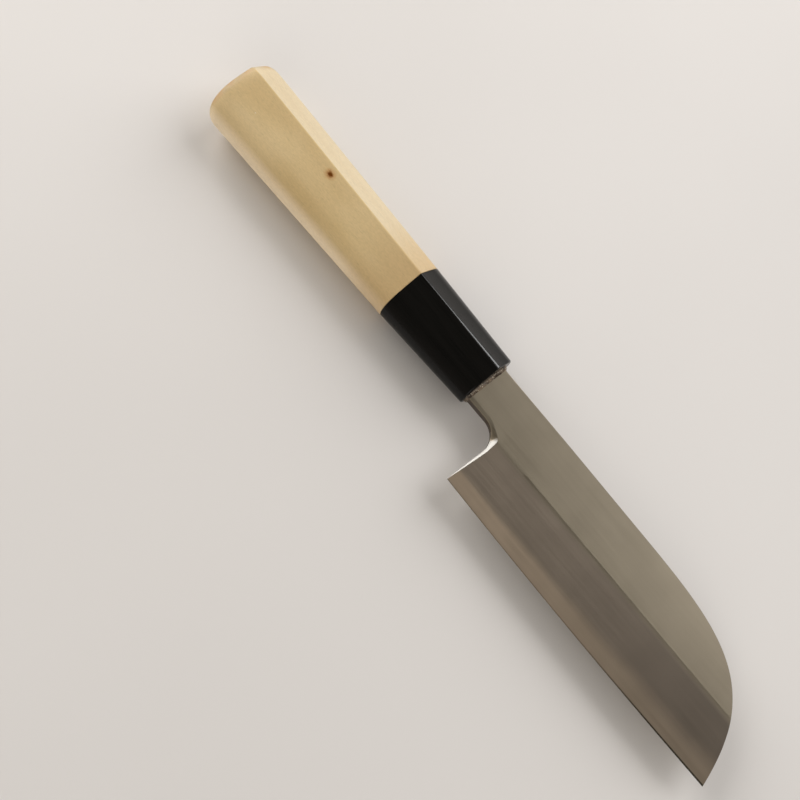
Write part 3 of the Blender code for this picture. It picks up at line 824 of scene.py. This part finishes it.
def butt_ring(run):
    """One ring of the rounded butt, at a distance from its end."""
    low, high, face, ridge = (depth * (1 - math.sqrt(1 - max(0.0, 1 - run / reach) ** 2))
                              for depth, reach in BUTT_ROUNDS)
    half_height, oval_half, ridge_height, ridge_offset, rise = BUTT_SECTION
    shift = (low - high) / 2
    section = (half_height - (low + high) / 2, oval_half - face, ridge_height - face - ridge,
               ridge_offset - shift, rise + shift)
    return chestnut_ring(BUTT_X + run, section, WOOD_RIDGE_ROUND)


def build_grip():
    """The wooden grip: rounded butt, straight taper, and the tenon that the ferrule sits on."""
    longest = max(reach for _, reach in BUTT_ROUNDS)
    rings = [butt_ring(longest * (i / BUTT_STEPS) ** 2) for i in range(BUTT_STEPS + 1)]
    start_x = BUTT_X + longest
    stop_x = SEAM_X - SEAM_ROUND
    for i in range(1, LENGTH_STEPS + 1):
        share = i / LENGTH_STEPS
        rings.append(chestnut_ring(start_x + (stop_x - start_x) * share,
                                   between(BUTT_SECTION, SEAM_SECTION, share),
                                   WOOD_RIDGE_ROUND))
    seam = chestnut_ring(SEAM_X, SEAM_SECTION, WOOD_RIDGE_ROUND, SEAM_ROUND)
    tenon_end = FERRULE_FRONT_X - FERRULE_WALL - SEAT_GAP
    rings.append(seam)
    rings += [oval_ring(x, TENON_HALF_HEIGHT, TENON_HALF_THICKNESS, seam)
              for x in (SEAM_X, tenon_end)]
    grip = loft("magnolia_grip", rings)
    combine(grip, "DIFFERENCE", tang_tool())
    return grip


def build_ferrule():
    """The ferrule: bored for the tenon, with a pocket for the resin round its slot."""
    start_x = SEAM_X + SEAM_GAP
    stop_x = FERRULE_FRONT_X - FRONT_ROUND
    seam_round, front_round = FERRULE_RIDGE_ROUNDS
    rings = [chestnut_ring(start_x, SEAM_SECTION, seam_round, SEAM_ROUND, crown=FERRULE_CROWN)]
    start_x += SEAM_ROUND
    for i in range(LENGTH_STEPS + 1):
        share = i / LENGTH_STEPS
        rings.append(chestnut_ring(start_x + (stop_x - start_x) * share,
                                   between(SEAM_SECTION, FRONT_SECTION, share),
                                   seam_round + (front_round - seam_round) * share,
                                   crown=FERRULE_CROWN))
    for i in range(1, ROUND_STEPS + 1):
        angle = math.pi / 2 * i / ROUND_STEPS
        rings.append(chestnut_ring(stop_x + FRONT_ROUND * math.sin(angle), FRONT_SECTION,
                                   front_round, FRONT_ROUND * (1 - math.cos(angle)),
                                   crown=FERRULE_CROWN))
    ferrule = loft("black_ferrule", rings)
    like = rings[0]
    bore = [oval_ring(x, TENON_HALF_HEIGHT + SEAT_GAP, TENON_HALF_THICKNESS + SEAT_GAP, like)
            for x in (SEAM_X - OVERCUT, FERRULE_FRONT_X - FERRULE_WALL)]
    combine(ferrule, "DIFFERENCE", loft("bore_tool", bore))
    slot = neck_tool("slot_tool", TANG_SEAT + TANG_GAP, TANG_GAP, TANG_GAP)
    combine(ferrule, "DIFFERENCE", slot)
    mouth = neck_tool("mouth_tool", SEAL_DEPTH, MOUTH_SIDE_GAP, MOUTH_FACE_GAP)
    combine(ferrule, "DIFFERENCE", mouth)
    combine(ferrule, "DIFFERENCE", tang_tool())
    return ferrule


def build_resin():
    """The collar of dried resin: it fills the ferrule's mouth and slopes down to the neck."""
    side = MOUTH_SIDE_GAP - RESIN_GAP
    face = MOUTH_FACE_GAP - RESIN_GAP
    low = Vector((FERRULE_FRONT_X - SEAL_DEPTH, NECK_BOTTOM - side, -face))
    high = Vector((FERRULE_FRONT_X + SEAL_STAND, spine_y(FERRULE_FRONT_X) + side,
                   NECK_THICKNESS + face))
    resin = box("resin_collar", low, high)
    start_edit(resin)
    bpy.ops.mesh.subdivide(number_cuts=RESIN_CUTS)
    row = (high.x - low.x) / (RESIN_CUTS + 1)
    count = int(SEAL_STAND / row)
    for i in range(count + 1):
        place = high.x - row * (count - i)
        share = ((i + 1) / (count + 1)) ** 2
        select_vertices(resin, lambda vertex: abs(vertex.co.x - place) < row / 2)
        bpy.ops.transform.resize(
            value=(1.0, 1 - share * 2 * side / (high.y - low.y) * RESIN_SHRINK[1],
                   1 - share * 2 * face / (high.z - low.z) * (1 - RESIN_SHRINK[0])),
            center_override=(place, (low.y + high.y) / 2, (low.z + high.z) / 2))
    select_vertices(resin, lambda vertex: vertex.co.x > FERRULE_FRONT_X + RESIN_GAP)
    bpy.ops.transform.vertex_random(offset=RESIN_RAGGED, uniform=1.0, seed=RESIN_SEED)
    bpy.ops.mesh.vertices_smooth(factor=RESIN_SMOOTHING, repeat=RESIN_PASSES)
    end_edit()
    passage = neck_tool("passage_tool", SEAL_DEPTH + OVERCUT, SEAM_GAP, SEAM_GAP)
    combine(resin, "DIFFERENCE", passage)
    return resin


# Shader helpers

def add_node(tree, kind, inputs=None, **settings):
    """A node with its settings made, and each input linked to a socket or set to a value."""
    made = tree.nodes.new(kind)
    for key, value in settings.items():
        setattr(made, key, value)
    for key, value in (inputs or {}).items():
        if isinstance(value, bpy.types.NodeSocket):
            tree.links.new(value, made.inputs[key])
        else:
            made.inputs[key].default_value = value
    return made


def sum_of(tree, first, second):
    return add_node(tree, "ShaderNodeMath", {0: first, 1: second}, operation="ADD").outputs[0]


def product(tree, first, second):
    return add_node(tree, "ShaderNodeMath", {0: first, 1: second},
                    operation="MULTIPLY").outputs[0]


def less(tree, first, second):
    return add_node(tree, "ShaderNodeMath", {0: first, 1: second},
                    operation="SUBTRACT").outputs[0]


def step_up(tree, value, low, high, bottom=0.0, top=1.0):
    """A smooth step of a value from bottom, under low, to top, over high."""
    return add_node(tree, "ShaderNodeMapRange",
                    {"Value": value, "From Min": low, "From Max": high, "To Min": bottom,
                     "To Max": top}, interpolation_type="SMOOTHSTEP").outputs["Result"]


def step_from(tree, value, place, run, bottom=0.0, top=1.0):
    """A smooth step over a run that is given as two distances from a place."""
    return step_up(tree, value, place + run[0], place + run[1], bottom, top)


def weighted(tree, amounts, *values):
    """The first amount, plus each value times the amount that goes with it."""
    total, *shares = amounts
    for value, share in zip(values, shares):
        total = sum_of(tree, total, product(tree, value, share))
    return total


def blend(tree, share, first, second):
    return add_node(tree, "ShaderNodeMix", {0: share, 2: first, 3: second}).outputs[0]


def mixed(tree, factor, first, second):
    return add_node(tree, "ShaderNodeMix", {0: factor, 6: first, 7: second},
                    data_type="RGBA").outputs[2]


def scaled_colour(tree, colour, factor):
    """A colour made darker or lighter by a factor."""
    return add_node(tree, "ShaderNodeVectorMath", {0: colour, "Scale": factor},
                    operation="SCALE").outputs["Vector"]


def noise(tree, vector, scale, detail=4.0, roughness=0.5):
    return add_node(tree, "ShaderNodeTexNoise",
                    {"Vector": vector, "Scale": scale, "Detail": detail,
                     "Roughness": roughness}).outputs["Fac"]


def stretched(tree, vector, factors):
    return add_node(tree, "ShaderNodeVectorMath", {0: vector, 1: factors},
                    operation="MULTIPLY").outputs["Vector"]


def knife_place(tree):
    """Object coordinates in the knife's own axes, with the heel corner as origin."""
    place = add_node(tree, "ShaderNodeTexCoord").outputs["Object"]
    return add_node(tree, "ShaderNodeMapping",
                    {"Vector": place, "Location": -HEEL}).outputs["Vector"]


def distance_to(tree, vector, place):
    return add_node(tree, "ShaderNodeVectorMath", {0: vector, 1: place},
                    operation="DISTANCE").outputs["Value"]


def parts_of(tree, vector):
    return add_node(tree, "ShaderNodeSeparateXYZ", {"Vector": vector}).outputs


def new_group(name, inputs, outputs):
    """An empty node group with named sockets, given as name and type or name, type and value."""
    group = bpy.data.node_groups.new(name, "ShaderNodeTree")
    for label, kind, *value in inputs:
        socket = group.interface.new_socket(label, in_out="INPUT", socket_type=kind)
        if value:
            socket.default_value = value[0]
    for label, kind in outputs:
        group.interface.new_socket(label, in_out="OUTPUT", socket_type=kind)
    return group, group.nodes.new("NodeGroupInput").outputs, group.nodes.new("NodeGroupOutput")


def shared(tree, group, vector, **values):
    """A node of a shared group, fed with a place, and with its other sockets set."""
    made = add_node(tree, "ShaderNodeGroup", {"Vector": vector}, node_tree=group)
    for label, value in values.items():
        made.inputs[label].default_value = value
    return made.outputs


def fine_lines_group():
    """Fine lines along one direction: Height for a bump and Tone, from 0 to 1, for colour."""
    group, given, put = new_group(
        "fine_lines",
        [("Vector", "NodeSocketVector"), ("Stretch", "NodeSocketVector", (1.0, 1.0, 1.0))],
        [("Height", "NodeSocketFloat"), ("Tone", "NodeSocketFloat")])
    lines = stretched(group, given["Vector"], given["Stretch"])
    fine = noise(group, lines, 1.0, detail=3.0, roughness=0.6)
    broad = noise(group, lines, BROAD_LINES, detail=2.0)
    group.links.new(fine, put.inputs["Height"])
    both = sum_of(group, product(group, fine, 0.5), product(group, broad, 0.5))
    group.links.new(step_up(group, both, *NOISE_MIDDLE), put.inputs["Tone"])
    return group


def mottling_group():
    """Soft cloudy changes over a surface, from 0 to 1."""
    group, given, put = new_group(
        "mottling", [("Vector", "NodeSocketVector"), ("Size", "NodeSocketFloat", 0.01)],
        [("Tone", "NodeSocketFloat")])
    frequency = add_node(group, "ShaderNodeMath", {0: 1.0, 1: given["Size"]},
                         operation="DIVIDE").outputs[0]
    clouds = noise(group, given["Vector"], frequency, detail=3.0)
    group.links.new(step_up(group, clouds, *NOISE_MIDDLE), put.inputs["Tone"])
    return group


def lamination_group():
    """Where the hard steel shows on the bevel: its soft and slightly wavy border with the iron."""
    group, given, put = new_group("lamination", [("Vector", "NodeSocketVector")],
                                  [("Steel", "NodeSocketFloat")])
    along_weld = stretched(group, given["Vector"], WELD_WAVE_STRETCH)
    wave = noise(group, along_weld, WELD_WAVE_SCALE, detail=3.0)
    height = sum_of(group, parts_of(group, given["Vector"])["Z"],
                    product(group, less(group, wave, 0.5), WELD_WAVE))
    along = parts_of(group, given["Vector"])["X"]
    middle = step_up(group, along, 0.0, EDGE_LENGTH, *WELD_HEIGHTS)
    soft = step_up(group, along, 0.0, EDGE_LENGTH, *WELD_SOFTNESS)
    steel = step_up(group, height, less(group, middle, soft), sum_of(group, middle, soft),
                    1.0, 0.0)
    group.links.new(steel, put.inputs["Steel"])
    return group


def start_material(name):
    material = bpy.data.materials.new(name)
    material.use_nodes = True
    tree = material.node_tree
    return material, tree, tree.nodes["Principled BSDF"]


def bump(tree, shader, height, strength, distance):
    normal = add_node(tree, "ShaderNodeBump",
                      {"Height": height, "Strength": strength, "Distance": distance})
    tree.links.new(normal.outputs["Normal"], shader.inputs["Normal"])


def facing_of(tree):
    """The parts of the direction in which the surface faces."""
    return parts_of(tree, add_node(tree, "ShaderNodeNewGeometry").outputs["Normal"])


# Finishes

def blade_finish(name, groups):
    """Satin blade: stoned flat, hazier bevel, brighter hard steel along the edge and the back.

    Painted shade on the choil's wall, along the very edge and on the bevel towards the tip,
    and a painted highlight over a brighter polish on the eased heel and choil.
    """
    material, tree, shader = start_material(name)
    place = knife_place(tree)
    x, y, z = parts_of(tree, place)
    lines = shared(tree, groups["fine_lines"], place, Stretch=FLAT_LINES)
    cross = shared(tree, groups["fine_lines"], place, Stretch=BEVEL_LINES)
    clouds = shared(tree, groups["mottling"], place, Size=BLADE_CLOUDS)
    weld = shared(tree, groups["lamination"], place)

    facing = facing_of(tree)
    up = step_up(tree, facing["Z"], *FACE_UP)
    on_bevel = product(tree, up, step_from(tree, y, SHINOGI_HEIGHT, BEVEL_BLEND, 1.0, 0.0))
    colour = mixed(tree, on_bevel, FLAT_COLOUR, BEVEL_COLOUR)
    colour = mixed(tree, product(tree, on_bevel, weld["Steel"]), colour, STEEL_COLOUR)
    colour = mixed(tree, less(tree, 1.0, up), colour, BACK_COLOUR)
    upright = add_node(tree, "ShaderNodeMath", {0: facing["Z"]}, operation="ABSOLUTE").outputs[0]
    # Painted shade on the choil's and neck's upright wall, by place and by how upright it faces
    in_choil = product(tree, step_up(tree, x, 0.0, CHOIL_FRONT, 1.0, 0.0),
                       step_up(tree, y, CHOIL_BASE - CHOIL_REACH, CHOIL_BASE))
    in_choil = product(tree, in_choil, step_up(tree, y, NECK_BOTTOM, NECK_BOTTOM + SHADED_WALL_TOP,
                                               1.0, 0.0))
    wall_shade = product(tree, step_up(tree, upright, *SHADED_WALL_UPRIGHT, 1.0, 0.0), in_choil)
    # Painted highlight over a brighter polish on the eased heel and choil, faded as the surface
    # turns
    ease_highlight = product(tree, step_up(tree, upright, *EASE_HIGHLIGHT_UPRIGHT, 1.0, 0.0),
                      product(tree, up, step_up(tree, x, *EASE_HIGHLIGHT_REACH, 1.0, 0.0)))
    ease_highlight = product(tree, ease_highlight, step_up(tree, facing["X"], *EASE_HIGHLIGHT_BACKWARD, 1.0, 0.0))
    ease_highlight = product(tree, ease_highlight, step_up(tree, facing["Y"], *EASE_HIGHLIGHT_DOWNWARD))
    colour = mixed(tree, ease_highlight, colour, EASE_POLISH_AND_HIGHLIGHT)
    colour = mixed(tree, wall_shade, colour, WALL_PAINTED_SHADE)

    tone = weighted(tree, BLADE_TONES, clouds["Tone"], lines["Tone"])
    # Painted shade: the bevel's tone darkens towards the tip
    bevel_shade = step_up(tree, x, 0.0, EDGE_LENGTH, 1.0, BEVEL_SHADE_AT_TIP)
    tone = product(tree, tone, blend(tree, on_bevel, 1.0, bevel_shade))
    # Painted shade: a dark line along the very edge, deeper towards the tip
    edge_shade = product(tree, on_bevel, step_up(tree, z, EDGE_SHADE_HEIGHT, 2 * EDGE_SHADE_HEIGHT, 1.0, 0.0))
    depth = step_up(tree, x, EDGE_LENGTH / 2, EDGE_LENGTH * EDGE_SHADE_END, *EDGE_SHADE_DEPTHS)
    tone = product(tree, tone, less(tree, 1.0, product(tree, edge_shade, depth)))
    tree.links.new(scaled_colour(tree, colour, tone), shader.inputs["Base Color"])

    rough = weighted(tree, BLADE_ROUGH, on_bevel, clouds["Tone"], lines["Tone"], ease_highlight)
    tree.links.new(rough, shader.inputs["Roughness"])
    height = blend(tree, on_bevel, lines["Height"], cross["Height"])
    shader.inputs["Metallic"].default_value = 1.0
    bump(tree, shader, height, *BLADE_BUMP)
    return material


def wood_finish(groups):
    """Bare pale wood: faint growth rings and fibres along the grip, a knot and a worn butt.

    Paler sapwood with painted light on the facet towards the spine, a painted sheen and painted
    light along the low side, and painted shade towards the seam and over the butt's rounded end.
    """
    material, tree, shader = start_material("bare_magnolia")
    place = knife_place(tree)
    x, y, _ = parts_of(tree, place)
    drift = noise(tree, stretched(tree, place, DRIFT_STRETCH), 1.0, detail=2.0)
    from_pith = distance_to(tree, stretched(tree, place, (0.0, 1.0, 1.0)), PITH_PLACE)
    ring = sum_of(tree, product(tree, from_pith, 1 / RING_WIDTH), product(tree, drift, RING_DRIFT))
    wave = add_node(tree, "ShaderNodeMath", {0: product(tree, ring, 2 * math.pi)},
                    operation="SINE").outputs[0]
    rings = step_up(tree, wave, *RING_RANGE)
    clouds = shared(tree, groups["mottling"], stretched(tree, place, WOOD_CLOUD_STRETCH),
                    Size=WOOD_CLOUDS)
    fibres = shared(tree, groups["fine_lines"], place, Stretch=FIBRE_LINES)
    pores = noise(tree, stretched(tree, place, PORE_STRETCH), 1.0, detail=1.0)
    pores = step_up(tree, pores, *PORE_RANGE)

    colour = mixed(tree, clouds["Tone"], WOOD_LIGHT, WOOD_DARK)
    # Paler sapwood and painted light where the surface faces the spine side
    lit_facet = step_up(tree, facing_of(tree)["Y"], *LIT_FACET_FACING, 0.0, LIT_FACET_STRENGTH)
    colour = mixed(tree, lit_facet, colour, WOOD_PALE_AND_LIT)
    low_side = sum_of(tree, y, product(tree, x, LOW_SIDE_SLOPE))
    # Painted sheen: paler colour along the grip's low side
    low_side_sheen = step_from(tree, low_side, LOW_SIDE, LOW_SIDE_SHEEN_FADE, LOW_SIDE_SHEEN_STRENGTH, 0.0)
    colour = mixed(tree, low_side_sheen, colour, WOOD_SIDE_SHEEN)
    colour = mixed(tree, product(tree, rings, RING_STRENGTH), colour, WOOD_RING)
    # Painted shade, with a warmer tone, towards the seam with the ferrule
    seam_shade = step_up(tree, x, SEAM_X - SEAM_SHADE_RUN, SEAM_X, 0.0, SEAM_SHADE)
    colour = mixed(tree, seam_shade, colour, WOOD_RING)

    grains = noise(tree, stretched(tree, place, GRAIN_STRETCH), 1.0, detail=2.0, roughness=0.7)
    grains = step_up(tree, grains, *NOISE_MIDDLE)
    tone = weighted(tree, WOOD_TONES, fibres["Tone"], grains, pores)
    # Painted light: tone lifted a little just above the low side, where the surface turns away
    low_side_light = step_from(tree, low_side, LOW_SIDE, LOW_SIDE_LIGHT, LOW_SIDE_LIGHT_STRENGTH, 0.0)
    colour = scaled_colour(tree, colour, sum_of(tree, tone, low_side_light))

    patches = step_up(tree, noise(tree, place, PATCH_SCALE, detail=2.0), *PATCH_RANGE)
    at_butt = step_from(tree, x, BUTT_X, BUTT_TINT_START, *BUTT_TINT_STRENGTHS)
    at_butt = product(tree, at_butt, step_from(tree, x, BUTT_X, BUTT_TINT_END, 1.0, 0.0))
    colour = mixed(tree, product(tree, at_butt, patches), colour, WOOD_BUTT)
    # Painted shade: darker towards the butt's end, over its rounding
    butt_end_shade = step_from(tree, x, BUTT_X, BUTT_END_SHADE_RUN, BUTT_END_SHADE_TONE, 1.0)
    colour = scaled_colour(tree, colour, butt_end_shade)

    ragged = product(tree, noise(tree, stretched(tree, place, KNOT_RAGGED_STRETCH), 1.0),
                     KNOT_RAGGED)
    knot = tuple(Vector(KNOT_PLACE) * Vector(KNOT_STRETCH))
    from_knot = distance_to(tree, stretched(tree, place, KNOT_STRETCH), knot)
    from_knot = sum_of(tree, from_knot, ragged)
    halo = step_up(tree, from_knot, KNOT_CORE, KNOT_HALO, KNOT_HALO_STRENGTH, 0.0)
    colour = mixed(tree, halo, colour, KNOT_HALO_COLOUR)
    inner, outer = KNOT_CORE_FADE
    core = step_up(tree, from_knot, KNOT_CORE * inner, KNOT_CORE * outer, 1.0, 0.0)
    colour = mixed(tree, core, colour, KNOT_COLOUR)
    speck = step_up(tree, distance_to(tree, place, SPECK_PLACE), SPECK_SIZE / 2, SPECK_SIZE,
                    SPECK_STRENGTH, 0.0)
    colour = mixed(tree, speck, colour, WOOD_SPECK)
    tree.links.new(colour, shader.inputs["Base Color"])
    tree.links.new(step_up(tree, from_knot, KNOT_CORE, KNOT_HALO, *KNOT_SHINE),
                   shader.inputs["Specular IOR Level"])
    tree.links.new(weighted(tree, WOOD_ROUGH, fibres["Tone"]), shader.inputs["Roughness"])
    height = sum_of(tree, fibres["Height"], product(tree, pores, PORE_DEPTH))
    bump(tree, shader, height, *WOOD_BUMP)
    return material


def horn_finish(groups):
    """Polished black horn with faint lengthwise streaks, glossier along its ridge."""
    material, tree, shader = start_material("polished_black")
    place = knife_place(tree)
    streaks = shared(tree, groups["fine_lines"], place, Stretch=HORN_LINES)
    clouds = shared(tree, groups["mottling"], place, Size=HORN_CLOUDS)
    colour = mixed(tree, product(tree, streaks["Tone"], STREAK_STRENGTH), HORN_DARK, HORN_STREAK)
    tree.links.new(colour, shader.inputs["Base Color"])
    rough = weighted(tree, HORN_ROUGH, clouds["Tone"], streaks["Tone"])
    tree.links.new(rough, shader.inputs["Roughness"])
    facing = facing_of(tree)
    on_ridge = product(tree, step_up(tree, facing["Y"], *RIDGE_START),
                       step_up(tree, facing["Y"], *RIDGE_END, 1.0, 0.0))
    on_ridge = product(tree, on_ridge, step_up(tree, facing["Z"], *RIDGE_UPRIGHT))
    gloss = sum_of(tree, HORN_GLOSS, product(tree, on_ridge, RIDGE_GLOSS - HORN_GLOSS))
    tree.links.new(gloss, shader.inputs["Specular IOR Level"])
    bump(tree, shader, streaks["Height"], *HORN_BUMP)
    return material


def resin_finish(groups):
    """Dried dark-brown resin, lumpy, with pale flecks."""
    material, tree, shader = start_material("brown_resin")
    place = knife_place(tree)
    lumps = noise(tree, place, RESIN_LUMPS, detail=3.0)
    clouds = shared(tree, groups["mottling"], place, Size=RESIN_CLOUDS)
    colour = mixed(tree, clouds["Tone"], RESIN_DARK, RESIN_LIGHT)
    flecks = step_up(tree, noise(tree, place, RESIN_FLECKS, detail=2.0), *FLECK_RANGE)
    colour = mixed(tree, flecks, colour, RESIN_FLECK)
    tree.links.new(colour, shader.inputs["Base Color"])
    tree.links.new(weighted(tree, RESIN_ROUGH, clouds["Tone"]), shader.inputs["Roughness"])
    bump(tree, shader, lumps, *RESIN_BUMP)
    return material


def table_finish():
    material, tree, shader = start_material("pale_table")
    place = add_node(tree, "ShaderNodeTexCoord").outputs["Object"]
    clouds = noise(tree, place, TABLE_CLOUDS, detail=2.0)
    colour = mixed(tree, step_up(tree, clouds, *NOISE_MIDDLE), TABLE_COLOUR, TABLE_SHADE)
    tree.links.new(colour, shader.inputs["Base Color"])
    shader.inputs["Roughness"].default_value = TABLE_ROUGH
    shader.inputs["Specular IOR Level"].default_value = TABLE_GLOSS
    return material


# Stage

def lay_table():
    bpy.ops.object.select_all(action="DESELECT")
    bpy.ops.mesh.primitive_plane_add(size=TABLE_SIZE)
    table = bpy.context.object
    table.name = "table"
    table.data.materials.append(table_finish())


def add_soft_light(name, place, size, power, colour):
    """A square lamp that faces the knife."""
    bpy.ops.object.light_add(type="AREA", location=place)
    lamp = bpy.context.object
    lamp.name = name
    lamp.rotation_euler = (-Vector(place)).to_track_quat("-Z", "Y").to_euler()
    lamp.data.size = size
    lamp.data.energy = power
    lamp.data.color = colour


def set_world():
    """A plain dome, brighter at the horizon than overhead."""
    world = bpy.data.worlds.new("room")
    bpy.context.scene.world = world
    world.use_nodes = True
    tree = world.node_tree
    up = parts_of(tree, add_node(tree, "ShaderNodeTexCoord").outputs["Generated"])["Z"]
    colour = mixed(tree, step_up(tree, up, *DOME_RANGE), HORIZON_COLOUR, ZENITH_COLOUR)
    tree.links.new(colour, tree.nodes["Background"].inputs["Color"])


def set_camera():
    bpy.ops.object.camera_add()
    camera = bpy.context.object
    right, down = Vector(CAMERA_RIGHT), Vector(CAMERA_DOWN)
    turn = Matrix((right, -down, right.cross(-down))).transposed().to_4x4()
    camera.matrix_world = Matrix.Translation(HEEL + Vector(CAMERA_PLACE)) @ turn
    camera.data.lens = CAMERA_LENS
    camera.data.sensor_width = CAMERA_SENSOR
    camera.data.clip_start, camera.data.clip_end = CAMERA_CLIP
    bpy.context.scene.camera = camera


def build_knife():
    groups = {"fine_lines": fine_lines_group(), "mottling": mottling_group(),
              "lamination": lamination_group()}
    iron, steel = build_blade()
    mark_sharp(iron, lambda edge: bounds_broad(edge) or on_weld(edge))
    mark_sharp(steel, lambda edge: bounds_broad(edge) or on_weld(edge) or on_rim(edge))
    for piece in (iron, steel):
        smooth(piece, keep_marks=True)
    set_down(iron, "blade_iron", blade_finish("satin_iron", groups))
    set_down(steel, "blade_steel", blade_finish("satin_steel", groups))
    for piece, node, material in ((build_grip(), "handle_wood", wood_finish(groups)),
                                  (build_ferrule(), "ferrule", horn_finish(groups)),
                                  (build_resin(), "tang_seal", resin_finish(groups))):
        smooth(piece)
        set_down(piece, node, material)


build_knife()
lay_table()
set_world()
add_soft_light("window", *WINDOW_LAMP)
add_soft_light("side", *SIDE_LAMP)
add_soft_light("fill", *FILL_LAMP)
set_camera()
bpy.context.scene.view_settings.view_transform = "Standard"
